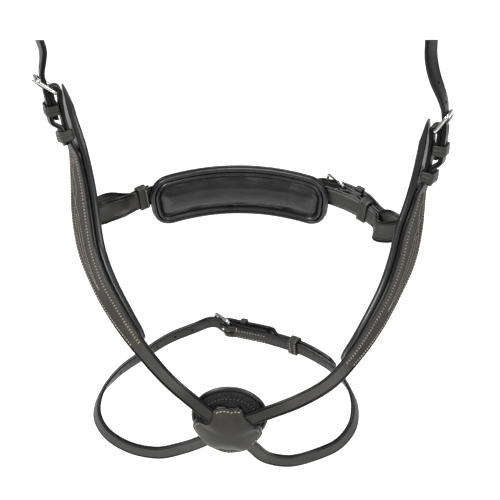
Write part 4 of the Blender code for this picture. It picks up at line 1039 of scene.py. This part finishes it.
def keeper(node, body, route, place, length, low, high, width):
    """A keeper in place of its CAD node, round the straps that lie between two lifts."""
    inner = (width / 2 + EASE, (high - low) / 2 + EASE / 2)
    middle, h, wall = (low + high) / 2, length / 2, KEEPER_WALL
    # along the strap, out from the keeper's inner face, and how far on the cut edge
    half = [(h, wall * 0.45, 1.0), (h - 0.15, wall * 0.75, 1.0), (h - 0.55, wall, 0.6),
            (h - 1.2, wall + 0.05, 0.0), (0.30 * h, wall + 0.05, 0.0), (0.24 * h, wall - 0.35, 0.0),
            (0.16 * h, wall + 0.08, 0.0)]
    section = half + [(0.0, wall + 0.12, 0.0)] + [(-s, t, edge_dye_and_shade) for s, t, edge_dye_and_shade in reversed(half)]
    section += [(-h + 0.5, 0.0, 0.4), (h - 0.5, 0.0, 0.4)]
    verts, edge_dye_and_shade = [], []
    for x, y, start in ((1, 1, 0), (-1, 1, 90), (-1, -1, 180), (1, -1, 270)):
        for a in np.radians(start + 15.0 * np.arange(7)):
            for s, t, edge in section:
                corner = 1.3 + t * 0.95
                full = corner + 0.025 * t * math.cos(math.pi * s / (2.4 * h))
                across = x * (inner[0] + t - corner) + full * math.cos(a)
                lift = middle + y * (inner[1] + t - corner) + full * math.sin(a)
                verts.append(route.point(place + s, lift, across))
                edge_dye_and_shade.append(edge)
    faces = skin(len(verts) // len(section), len(section), True)
    piece = make(node + "_leather", verts, faces, bridle_leather, edge_dye_and_shade)
    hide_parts(node)
    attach(piece, body)


keeper("chin_fixed_keeper", "noseband", left_cross, chin.place - KEEPER_NEAR, KEEPER_SHORT,
       chin.bottom, chin.top, CROSS_WIDTH)
keeper("chin_sliding_keeper", "chin_sliding_keeper", left_cross, chin.place - CHIN_KEEPER_FAR, KEEPER_LONG,
       -CROSS_THICK / 2, chin.back + CROSS_THICK / 2, CROSS_WIDTH)
for side, hang, (near, far) in (("left", left_hang, LEFT_KEEPERS), ("right", right_hang, RIGHT_KEEPERS)):
    keeper(side + "_fixed_keeper", "noseband", hang.route, hang.place - near, KEEPER_LONG,
           hang.back - CROSS_THICK / 2, hang.top, CROWN_WIDTH)
    runner = side + "_sliding_keeper"
    keeper(runner, runner, hang.route, hang.place - far, KEEPER_LONG, -CROSS_THICK / 2,
           crown_seat + CROWN_THICK / 2, CROWN_WIDTH)
for name, place in (("left_jaw_keeper", jaw.length - LEFT_JAW_KEEPER),
                    ("right_jaw_keeper", RIGHT_JAW_KEEPER)):
    keeper(name, "noseband", jaw, place, KEEPER_LONG, -JAW_THICK / 2, double + JAW_THICK / 2, JAW_WIDTH)
keeper("jaw_fixed_keeper", "noseband", jaw, JAW_BAR - KEEPER_NEAR, KEEPER_SHORT,
       jaw_buckle.bottom, jaw_buckle.top, JAW_WIDTH)

# Jaw pad: soft leather over foam on a firm leather backing, edged with piping. A sewn channel runs round
# inside the piping and leaves a narrow ridge. Within it the panel is blown up by a cloth simulation, whose
# swelling is read back onto the finished mesh, and has the puckers and soft folds of the real one.
JAW_PAD_HALF = 88.0
JAW_PAD_HEIGHT = 53.0
JAW_PAD_BACK = 3.0
JAW_PAD_CORNER = 20.0
JAW_PAD_DROP = (3.5, 6.0)               # under the strap's middle line, in its middle and more at its ends
JAW_PIPING = 2.0
JAW_PANEL_INSET = 4.6
PAD_ROW_HALF = 66.0                     # of the rows that show on the backing
PAD_ROW_IN = 3.2
RING_POINTS = 120
pad_middle = float(np.interp(-1.5, -jaw.rows[:, 0], jaw.along))
pad_seat = JAW_THICK / 2 + GAP


def pad_point(x, w, depth):
    """A point of the jaw pad: along and across it, and so deep towards the muzzle from the strap."""
    drop = JAW_PAD_DROP[0] + JAW_PAD_DROP[1] * (x / JAW_PAD_HALF) ** 2
    return jaw.point(pad_middle + x, -(pad_seat + depth), w + drop)


def pad_ring(inset, half, height, corner):
    """Points (along, across) round a round-cornered panel at an inset from its edge: RING_POINTS of them."""
    a, b = half - inset, height / 2 - inset
    c = min(max(corner - inset, 0.5 * b), b - 0.2)
    ring = []
    for x, y, start in ((1, 1, 0), (-1, 1, 90), (-1, -1, 180), (1, -1, 270)):
        for k in range(11):
            turn_by = math.radians(start + 9 * k)
            ring.append((x * (a - c) + c * math.cos(turn_by), y * (b - c) + c * math.sin(turn_by)))
        if x * y > 0:
            ring += [(x * (a - c) * (1 - k / 18), y * b) for k in range(1, 36)]
        else:
            ring += [(x * a, y * (b - c) * (1 - k / 2)) for k in range(1, 4)]
    return ring


def pad_shell(name, rings, half, height, corner, depth_at, material):
    """A closed panel through rings of (inset, depth, edge), from its back's middle to its front's."""
    verts, edge_dye_and_shade = [], []
    for inset, depth, edge in rings:
        for i, (x, w) in enumerate(pad_ring(inset, half, height, corner)):
            verts.append(pad_point(x, w, depth_at(i, x, w, inset, depth)))
            edge_dye_and_shade.append(edge)
    faces = skin(len(rings), RING_POINTS)[:-2]
    # the first and last rings are closed by strips between their long sides and a face at each end
    for first in (0, (len(rings) - 1) * RING_POINTS):
        caps = [(i, i + 1, 115 - i, 116 - i) for i in range(56)] + [range(56, 61), (*range(116, 120), 0)]
        faces += [tuple(first + k for k in cap) for cap in caps]
    return make(name, verts, faces, material, edge_dye_and_shade)


backing_rings = [(25.0, 0.0, 0.0), (12.0, 0.0, 0.0), (0.9, 0.0, 0.0), (0.3, 0.25, 1.0), (0.0, 0.8, 1.0),
                 (0.0, 2.2, 1.0), (0.3, 2.75, 1.0), (0.9, JAW_PAD_BACK, 0.0), (12.0, JAW_PAD_BACK, 0.0),
                 (25.0, JAW_PAD_BACK, 0.0)]
backing = pad_shell("jaw_backing_leather", backing_rings, JAW_PAD_HALF, JAW_PAD_HEIGHT, JAW_PAD_CORNER,
                    lambda i, x, w, inset, depth: depth, bridle_leather)
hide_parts("jaw_pad_backing")
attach(backing, "noseband")
seam = []
for across in (JAW_PAD_HEIGHT / 2 - PAD_ROW_IN, PAD_ROW_IN - JAW_PAD_HEIGHT / 2):
    seam.append([(pad_point(x, across, -STITCH_LIFT), jaw.frame(pad_middle + x)[2])
                 for x in np.arange(-PAD_ROW_HALF, PAD_ROW_HALF + 0.1, 1.5)])
sew("jaw_backing_stitches", seam, "noseband", grey_thread)

piping_base = JAW_PAD_BACK + LAID
ring = pad_ring(0.0, JAW_PAD_HALF - JAW_PIPING, JAW_PAD_HEIGHT - 2 * JAW_PIPING, JAW_PAD_CORNER - JAW_PIPING)
path = [pad_point(x, w, piping_base + JAW_PIPING) for x, w in ring]
outs = [jaw.frame(pad_middle + x)[2] for x, w in ring]
jaw_piping = tube("jaw_piping_leather", path, outs, [JAW_PIPING] * len(path), True, soft_leather)
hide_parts("jaw_pad_piping")
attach(jaw_piping, "noseband")

PANEL_IN = 4.3                          # of the cushion's edge from the backing's
PAD_PANEL = (JAW_PAD_HALF - PANEL_IN, JAW_PAD_HEIGHT - 2 * PANEL_IN, JAW_PAD_CORNER - PANEL_IN)
PANEL_RISE = 7.6                        # of the panel's middle over the channel's bottom
CHANNEL_DEPTH = 1.8                     # of leather and foam left under the channel
SLACK = 0.9                             # how low the panel lies before it is stuffed
VOXEL = 4.0
PINNED_WITHIN = 3.2                     # how near the backing the panel is held down
CLOTH_FRAMES = 20
PUFF_CAP = 2.6                          # the furthest that the stuffing may swell
READ_FROM = 22.0                        # height over the piping's base from which the swelling is read
PUCKER_PITCH = 5.2
PUCKER_DEEP = 0.42
FOLDS = ((-48.0, 0.9, 2.0, 0.10), (-53.5, 0.55, 1.6, 0.06), (42.0, 0.45, 2.4, -0.08))  # x, deep, wide, lean


def panel_depth(inset):
    """The panel's height over its backing, before it is stuffed."""
    rise = min(1.0, max(0.0, inset - JAW_PANEL_INSET) / 13.0)
    return CHANNEL_DEPTH + PANEL_RISE * math.sin(math.pi / 2 * rise)


def stuffed_panel():
    """The inner panel, slightly slack, swollen by a cloth simulation; as a tree to read its height from."""
    rings = [(20.0, 0.0, 0.0), (10.0, 0.0, 0.0), (4.7, 0.0, 0.0)]
    rings += [(inset, panel_depth(inset) - SLACK * (inset > 5), 0.0)
              for inset in (4.7, 5.4, 6.5, 8.0, 10.0, 12.0, 14.5, 17.0, 20.0)]
    slack = pad_shell("stuffing", rings, *PAD_PANEL, lambda i, x, w, inset, depth: piping_base + depth,
                      soft_leather)
    remesh = slack.modifiers.new("voxels", 'REMESH')
    remesh.mode = 'VOXEL'
    remesh.voxel_size = VOXEL * MM
    realise(slack)
    still = np.array([v.co[:] for v in slack.data.vertices])
    pins = slack.vertex_groups.new(name="sewn_down")
    back_points = [Vector(tuple((pad_point(x, w, piping_base) - NOSE_TO_CROWN) * MM))
                   for inset in (4.6, 8.0, 12.0, 16.0, 20.0) for x, w in pad_ring(inset, *PAD_PANEL)]
    near = kdtree.KDTree(len(back_points))
    for i, point in enumerate(back_points):
        near.insert(point, i)
    near.balance()
    for v in slack.data.vertices:
        if near.find(v.co)[2] < PINNED_WITHIN * MM:
            pins.add([v.index], 1.0, 'REPLACE')
    settings = slack.modifiers.new("stuffing", 'CLOTH').settings
    settings.use_pressure = True
    settings.uniform_pressure_force = 4.0
    settings.effector_weights.gravity = 0.0
    settings.quality = 6
    settings.mass = 0.25
    settings.vertex_group_mass = "sewn_down"
    scene = bpy.context.scene
    for number in range(1, CLOTH_FRAMES + 1):
        scene.frame_set(number)
    realise(slack)
    scene.frame_set(1)
    moved = np.array([v.co[:] for v in slack.data.vertices]) - still
    far = np.linalg.norm(moved, axis=1, keepdims=True)
    moved *= np.minimum(1.0, PUFF_CAP * MM / np.maximum(far, 1e-9))
    slack.data.vertices.foreach_set("co", (still + moved).ravel())
    bm = bmesh.new()
    bm.from_mesh(slack.data)
    bmesh.ops.smooth_vert(bm, verts=bm.verts, factor=0.5, use_axis_x=True, use_axis_y=True, use_axis_z=True)
    tree = bvhtree.BVHTree.FromBMesh(bm)
    bm.free()
    bpy.data.objects.remove(slack, do_unlink=True)
    return tree


puff = stuffed_panel()
arc = [0.0]
channel_ring = pad_ring(JAW_PANEL_INSET, *PAD_PANEL)
for (x0, w0), (x1, w1) in zip(channel_ring, channel_ring[1:]):
    arc.append(arc[-1] + math.hypot(x1 - x0, w1 - w0))


def cushion_height(i, x, w, inset, depth):
    """Depth of a point of the finished cushion: the sewn ridge as given, the panel as stuffed."""
    if inset <= JAW_PANEL_INSET or depth == 0.0:
        return piping_base + depth
    plain = panel_depth(inset)
    height = plain
    in_from = inset - JAW_PANEL_INSET
    if puff is not None:
        start = (pad_point(x, w, piping_base + READ_FROM) - NOSE_TO_CROWN) * MM
        foot = (pad_point(x, w, piping_base) - NOSE_TO_CROWN) * MM
        hit = puff.ray_cast(Vector(tuple(start)), Vector(tuple(foot - start)).normalized())
        if hit[0] is not None:
            read = READ_FROM - hit[3] / MM
            height = mix(plain, min(max(read, plain - 1.2), plain + 1.6), min(1.0, in_from / 4.0))
    pull = noise.noise(Vector((arc[i] * 0.11, 3.1, 0.0)))
    pucker = math.cos(2 * math.pi * arc[i] / PUCKER_PITCH + 2.2 * pull)
    sewn_in = math.exp(-in_from / 2.6) * min(1.0, in_from / 0.5)
    height -= PUCKER_DEEP * (0.6 + 0.4 * pucker + 0.5 * pull) * sewn_in
    for middle, deep, wide, lean in FOLDS:
        height -= deep * math.exp(-((x - middle - lean * w) / wide) ** 2) * min(1.0, in_from / 4.0)
    height += 0.3 * noise.noise(Vector((x * 0.07, w * 0.09, 5.0)))
    height += 0.12 * noise.noise(Vector((x * 0.3, w * 0.3, 9.0)))
    return piping_base + height


cushion_rings = [(20.3, 0.0), (10.0, 0.0), (0.9, 0.0), (0.2, 0.4), (0.0, 1.5), (0.1, 2.8), (0.5, 3.8),
                 (1.1, 4.5), (1.8, 4.8), (2.5, 4.7), (3.1, 4.2), (3.7, 3.3), (4.15, 2.3), (4.4, 1.75),
                 (4.6, 1.6)]
cushion_rings += [(inset, 1.0) for inset in (4.8, 5.1, 5.5, 6.0, 6.6, 7.3, 8.1, 9.0, 10.0, 11.2, 12.6, 14.2,
                                             16.0, 18.0, 20.3)]
cushion_rings = [(inset, depth, 0.0) for inset, depth in cushion_rings]
cushion = pad_shell("jaw_cushion_leather", cushion_rings, *PAD_PANEL, cushion_height, soft_leather)
fuller = cushion.modifiers.new("round", 'SUBSURF')
fuller.levels = fuller.render_levels = 1
realise(cushion)
cushion.data.shade_smooth()
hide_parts("jaw_pad_cushion")
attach(cushion, "noseband")

# Nose pad: black fleece over foam, with a piped leather rim. Its pile is short curls, which stand in the
# open ring round the cover, on the pad's side and on its back, and are pressed flat under the cover.
PAD_RADIUS = 34.5
PAD_THICK = 8.0
PAD_EASE = 0.8                          # between the pad and the strap that lies on it
PAD_SAG = 8.5                           # of the pad's rim behind its middle
PAD_SWELL = 1.5                         # of the pad's back in its middle
PAD_SPOKES = 128
NOSE_PIPING = 2.0
RIM_SEAM = 26.8                         # of the slanting stitches that show in the fleece
NOSE_CENTRE = (-2.0, 10.0)
CROSSING_BACK = -20.0                   # depth of the right strap in the middle of the nose
CROSSING_FRONT = -24.6                  # depth of the left strap, which lies over it
OPEN_PILE = 22.0                        # distance from the middle past which the pile is full
SIDE_PILE = 5.0                         # depth behind the front past which it is full too
FORWARD = np.array((0.0, -1.0, 0.0))
pad_reach = PAD_RADIUS - 2 * NOSE_PIPING - GAP


def nose_front(r):
    """Depth of the nose pad's front at a distance from its middle."""
    return CROSSING_BACK + CROSS_THICK / 2 + PAD_EASE + PAD_SAG * (r / PAD_RADIUS) ** 2


def nose_point(r, a, y):
    """A point at a distance and an angle from the pad's middle, y deep."""
    return np.array((NOSE_CENTRE[0] + r * math.cos(a), y, NOSE_CENTRE[1] + r * math.sin(a)))


def disc_faces(rings, spokes):
    """Faces of a closed disc: its first point, rings of one size, and its last point."""
    faces = [tuple(v + 1 for v in face) for face in skin(rings, spokes)[:-2]]
    last = rings * spokes + 1
    for k in range(spokes):
        m = (k + 1) % spokes
        faces += [(0, 1 + m, 1 + k), (last, last - spokes + k, last - spokes + m)]
    return faces


# The locks' colour follows their bump and is darker where it sinks: painted shade in the pile's hollows.
black_fleece = painted("fleece", {
    "shader": ("Principled BSDF", {"Roughness": 0.9, "Specular IOR Level": 0.2, "Sheen Weight": 0.25,
                                   "Sheen Roughness": 0.5}),
    "place": ("ShaderNodeTexCoord", {}),
    "locks": ("ShaderNodeTexNoise", {"Scale": 520.0, "Detail": 6.0, "Distortion": 1.2}),
    "tone": ("ShaderNodeValToRGB", {"ramp": ((0.38, (0.0025, 0.0025, 0.0028)),
                                             (0.68, (0.026, 0.026, 0.028)))}),
    "pile": ("ShaderNodeBump", {"Strength": 0.9, "Distance": 0.0008})}, """
    place.Object > locks.Vector, locks.Fac > tone.Fac, tone.Color > shader.Base Color,
    locks.Fac > pile.Height, pile.Normal > shader.Normal""")
edge_front = nose_front(pad_reach)
back_middle = nose_front(0.0) + PAD_THICK + PAD_SWELL
pad_profile = [(pad_reach * k / 16, nose_front(pad_reach * k / 16)) for k in range(1, 16)]
pad_profile += [(pad_reach - 0.6, edge_front + 0.15), (pad_reach - 0.1, edge_front + 1.0)]
pad_profile += [(pad_reach, edge_front + 1.8 + (PAD_THICK - 4.3) * k / 3) for k in range(4)]
pad_profile += [(pad_reach - 0.5, edge_front + PAD_THICK - 1.2),
                (pad_reach - 1.3, edge_front + PAD_THICK - 0.5)]
pad_profile += [(pad_reach * (1 - k / 12), mix(edge_front + PAD_THICK, back_middle, (k / 12) ** 0.8))
                for k in range(1, 12)]
verts = [nose_point(0.0, 0.0, nose_front(0.0))]
for r, y in pad_profile:
    for k in range(PAD_SPOKES):
        a = 2 * math.pi * k / PAD_SPOKES
        lump = noise.noise(Vector((r * math.cos(a) * 0.45, y * 0.45, r * math.sin(a) * 0.45)))
        behind = y > nose_front(r) + 3.0
        verts.append(nose_point(r, a, y + 0.5 * (lump if behind else max(0.0, lump))))
verts.append(nose_point(0.0, 0.0, back_middle))
nose_pad = make("nose_fleece", verts, disc_faces(len(pad_profile), PAD_SPOKES), black_fleece)
nose_pad.data.shade_smooth()
points = np.array([v.co[:] for v in nose_pad.data.vertices]) / MM + NOSE_TO_CROWN
full_pile = nose_pad.data.attributes.new("pile", 'FLOAT', 'POINT')
full_pile.data.foreach_set("value", [
    float(math.hypot(x - NOSE_CENTRE[0], z - NOSE_CENTRE[1]) > OPEN_PILE or y > nose_front(0.0) + SIDE_PILE)
    for x, y, z in points])

# short, leaning curls planted on a surface where its pile is full
fleece_pile = tree_of("fleece_pile", {
    "Density": "Float", "Long": "Float", "Thick": "Float", "Pile": "Material"}, {
    "where": ("GeometryNodeInputNamedAttribute", {"data_type": 'FLOAT', "Name": "pile"}),
    "open": ("ShaderNodeMath", {"operation": 'MULTIPLY'}),
    "roots": ("GeometryNodeDistributePointsOnFaces", {"Seed": 7}),
    "curl": ("GeometryNodeMeshCone", {"Vertices": 4, "Side Segments": 3}),
    "lean": ("FunctionNodeRandomValue", {"data_type": 'FLOAT_VECTOR', 0: (-1.1, -1.1, -3.0),
                                         1: (1.1, 1.1, 3.0), "Seed": 3}),
    "tipped": ("FunctionNodeEulerToRotation", {}),
    "turned": ("FunctionNodeRotateRotation", {"rotation_space": 'LOCAL'}),
    "size": ("FunctionNodeRandomValue", {"data_type": 'FLOAT', 2: 0.55, 3: 1.0, "Seed": 11}),
    "planted": ("GeometryNodeInstanceOnPoints", {}),
    "real": ("GeometryNodeRealizeInstances", {}),
    "dressed": ("GeometryNodeSetMaterial", {})}, """
    where.Attribute > open.0, start.Density > open.1, start.Geometry > roots.Mesh,
    open.Value > roots.Density, start.Thick > curl.Radius Bottom, start.Long > curl.Depth,
    lean.0 > tipped.Euler, roots.Rotation > turned.Rotation, tipped.Rotation > turned.Rotate By,
    roots.Points > planted.Points, curl.Mesh > planted.Instance, turned.Rotation > planted.Rotation,
    size.1 > planted.Scale, planted.Instances > real.Geometry, real.Geometry > dressed.Geometry,
    start.Pile > dressed.Material, dressed.Geometry > end.Geometry""")
pile = bpy.data.objects.new("nose_pile", nose_pad.data.copy())
bpy.context.collection.objects.link(pile)
grown(pile, fleece_pile, {"Density": 1.3e6, "Long": 1.9 * MM, "Thick": 0.34 * MM, "Pile": black_fleece})
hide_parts("nose_pad")
for piece in (nose_pad, pile):
    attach(piece, "noseband")

rim_seam = [(nose_point(RIM_SEAM, a, nose_front(RIM_SEAM) - 1.4), FORWARD)
            for a in np.radians(np.arange(12, 169, 2))]
for name, slant in (("nose_rim_stitches", 1.1), ("nose_rim_returns", -0.9)):
    sew(name, [rim_seam], "noseband", smoke_thread, pitch=3.4, long=1.7, thick=0.45, slant=slant)

rim_depth = nose_front(PAD_RADIUS) + NOSE_PIPING + 0.6
rim = [nose_point(PAD_RADIUS - NOSE_PIPING, 2 * math.pi * k / RING_POINTS, rim_depth)
       for k in range(RING_POINTS)]
rim_sizes = [NOSE_PIPING * (1.0 - 0.03 * max(0.0, noise.noise(Vector((k * 0.5, 0.0, 2.0)))))
             for k in range(RING_POINTS)]
nose_rim = tube("nose_piping_leather", rim, [FORWARD] * RING_POINTS, rim_sizes, True, soft_leather)
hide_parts("nose_pad_piping")
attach(nose_rim, "noseband")

# Nose cover: a cross-shaped patch of bridle leather, moulded wet over the crossing of the straps. Each of
# its four lobes is sewn through the pad with one row, and the straps come out between the lobes.
COVER_CENTRE = (-3.0, 3.5)
COVER_REACH = 29.0
COVER_THICK = 2.6
COVER_FLAT = 28.0                       # distance from the pad's middle past which the cover stays flat
COVER_SPOKES = 160
# each seam's start and end in degrees round the cover, and how far it is from the edge
COVER_SEAMS = ((66, 110, 2.4), (163, 197, 1.9), (248, 288, 2.2), (-32, 0, 2.2))
# each flat rim's middle and spread in degrees, and its share of the reach
BRIMS = ((268, 26, 0.13), (176, 22, 0.05), (-10, 22, 0.05))
# where each strap comes out, the share of the reach that is cut away there, and how far the edge stands up
STRAP_EXITS = ((136, 0.2, 11.0), (25, 0.2, 8.5), (-141, 0.09, 5.2), (-49, 0.09, 8.0))
# each lobe's or hollow's middle and spread in degrees, and how far it changes the reach
LOBES = ((82, 15, -3.2), (174, 21, 3.6), (268, 24, 3.4), (-10, 20, 3.0), (113, 8, 2.2), (50, 9, -3.4),
         (69, 8, 0.5))
EXIT_SPREAD = 26.0
TUNNEL_BACK = 6.0
TUNNEL_HALF = 52
cover_crown = CROSSING_FRONT - CROSS_THICK / 2 - GAP - COVER_THICK


def nearness(angle, middle, spread, power=2):
    """How near an angle is to a middle, both in degrees: 1 there and nothing past a few spreads."""
    return math.exp(-(((angle - middle + 180) % 360 - 180) / spread) ** power)


def cover_edge(angle):
    """The cover's reach at an angle, and how far its edge stands over the pad there."""
    reach, rise = COVER_REACH, COVER_THICK
    for middle, scallop, lift in STRAP_EXITS:
        near = nearness(angle, middle, EXIT_SPREAD)
        reach -= COVER_REACH * scallop * near
        rise += lift * near
    for middle, spread, longer in LOBES:
        reach += longer * nearness(angle, middle, spread)
    return reach, rise


def cover_seat(x, z):
    """Depth of the pad under the cover, which doesn't follow the pad's bend at its rim."""
    return nose_front(min(COVER_FLAT, math.hypot(x - NOSE_CENTRE[0], z - NOSE_CENTRE[1])))


def cover_point(angle, share, sink=0.0):
    """A point of the cover's outer face, at a share of the reach from its middle."""
    reach, rise = cover_edge(angle)
    a = math.radians(angle)
    x, z = COVER_CENTRE[0] + reach * math.cos(a), COVER_CENTRE[1] + reach * math.sin(a)
    edge = cover_seat(x, z) - GAP - rise
    brim = sum(wide * nearness(angle, middle, spread, 4) for middle, spread, wide in BRIMS)
    fall = min(1.0, share / (1 - brim)) ** 2.4
    return np.array((mix(COVER_CENTRE[0], x, share), mix(cover_crown, edge, fall) + sink,
                     mix(COVER_CENTRE[1], z, share)))


def under_cover(x, z):
    """A point of the cover's inner face, which lies close to the pad."""
    return x, cover_seat(x, z) - 2 * GAP, z


# share of the reach, how far under the outer face, and how far on the cut edge
cover_rings = [(k / 14, 0.0, 0.0) for k in range(1, 13)]
cover_rings += [(0.9, 0.0, 0.0), (0.93, 0.0, 0.0), (0.955, 0.0, 0.0), (0.975, 0.05, 0.3), (0.99, 0.2, 1.0),
                (0.998, 0.5, 1.0), (1.0, 1.0, 1.0)]
under_rings = (1.0, 0.9, 0.6, 0.3)
turns = [360 * k / COVER_SPOKES for k in range(COVER_SPOKES)]
verts, edge_dye_and_shade = [(COVER_CENTRE[0], cover_crown, COVER_CENTRE[1])], [0.0]
for share, sink, edge in cover_rings:
    verts += [cover_point(angle, share, sink) for angle in turns]
    edge_dye_and_shade += [edge] * COVER_SPOKES
for share in under_rings:
    verts += [under_cover(*cover_point(angle, share)[[0, 2]]) for angle in turns]
    edge_dye_and_shade += [1.0 if share == 1.0 else 0.0] * COVER_SPOKES
verts.append(under_cover(*COVER_CENTRE))
edge_dye_and_shade.append(0.0)
faces = disc_faces(len(cover_rings) + len(under_rings), COVER_SPOKES)
nose_cover = make("nose_cover_leather", verts, faces, bridle_leather, edge_dye_and_shade)
tunnels = []
tunnel_thick = CROSS_THICK + 2 * GAP + TUNNEL_BACK
for route in (left_cross, right_cross):
    crossing = np.array((COVER_CENTRE[0], CROSSING_BACK, COVER_CENTRE[1]))
    middle = min(range(int(route.length)), key=lambda s: np.linalg.norm(route.point(s) - crossing))
    rows = lay(route, run((middle - TUNNEL_HALF, -TUNNEL_BACK / 2), (middle + TUNNEL_HALF, -TUNNEL_BACK / 2)))
    for row in rows:
        row[6] += 2 * GAP
    tunnels.append(sweep(smooth(rows, ROW), lambda width: strap_profile(width, tunnel_thick, 0.0))[:2])
cut(nose_cover, tunnels)
nose_cover.data.set_sharp_from_angle(angle=math.radians(40))
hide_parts("nose_cover")
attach(nose_cover, "noseband")

cover_rows = []
for start, end, seam in COVER_SEAMS:
    row = []
    for angle in np.arange(start, end + 0.1, 2.0):
        share = 1 - seam / cover_edge(angle)[0]
        ahead = cover_point(angle + 1.0, share) - cover_point(angle - 1.0, share)
        outward = unit(np.cross(ahead, cover_point(angle, share + 0.03) - cover_point(angle, share - 0.03)))
        row.append((cover_point(angle, share, -STITCH_LIFT), outward if outward[1] < 0 else -outward))
    cover_rows.append(row)
sew("nose_cover_stitches", cover_rows, "noseband", pitch=2.9, long=2.3, thick=0.95, slant=0.25)

# Sewing of the chin and jaw straps: rows along the chin chape and over its edge, two across the chin
# runner, one across the left jaw keeper, and two short ones where the jaw strap's end is sewn down.
CHAPE_ROWS = (3.9, -3.3)                # across the strap
START_ROW = (-3.3, -4.5, -5.6)          # across and over the chape's edge
RUNNER_ROWS = (-3.3, 2.0)               # along the runner from its middle
JAW_KEEPER_ROW = 3.2                    # from the keeper's middle, towards the pad
LAP_SEWN = (6.0, 17.0)                  # along the jaw strap's route
LAP_ROW_IN = 2.6
inner_face = CROSS_THICK / 2 + STITCH_LIFT
sewn_from, sewn_to = chin.place - chin.BEND, chin.place - CHIN_RETURN + 1.0
chin_rows = [stitch_line(left_cross, sewn_from, sewn_to, w, -inner_face, -1) for w in CHAPE_ROWS]
chin_rows += [stitch_line(left_cross, sewn_from, sewn_to, w, chin.back + inner_face) for w in CHAPE_ROWS]
sew("chin_chape_stitches", chin_rows, "noseband", pitch=2.9, long=1.9, thick=0.8, slant=0.35)
start_row = [(left_cross.point(sewn_from - 0.5, -inner_face, w), -left_cross.frame(sewn_from)[2])
             for w in START_ROW]
sew("chin_start_stitch", [start_row], "noseband", pitch=1.1, long=1.9, thick=1.0)


def across_line(route, s, half, lift):
    """Points across a strap's inner face at one place."""
    return [(route.point(s, lift, w), -route.frame(s)[2]) for w in np.linspace(-half, half, 12)]


keeper_out = EASE / 2 + KEEPER_WALL + 0.12
runner_at, runner_low = chin.place - CHIN_KEEPER_FAR, -CROSS_THICK / 2 - keeper_out
runner_rows = [across_line(left_cross, runner_at + s, CROSS_WIDTH / 2 - 0.6, runner_low) for s in RUNNER_ROWS]
sew("chin_runner_stitches", runner_rows, "chin_sliding_keeper", pitch=2.4, long=1.7, thick=0.8)
jaw_keeper_row = across_line(jaw, jaw.length - LEFT_JAW_KEEPER - JAW_KEEPER_ROW, JAW_WIDTH / 2 - 1.0,
                             -JAW_THICK / 2 - keeper_out)
sew("left_jaw_keeper_stitches", [jaw_keeper_row], "noseband", pitch=2.4, long=1.7, thick=0.75)
lap_face = double - JAW_THICK / 2 - STITCH_LIFT
jaw_rows = [stitch_line(jaw, *LAP_SEWN, across, lap_face, -1)
            for across in (JAW_WIDTH / 2 - LAP_ROW_IN, LAP_ROW_IN - JAW_WIDTH / 2)]
sew("jaw_lap_stitches", jaw_rows, "noseband", pitch=2.6, long=1.8, thick=0.6)
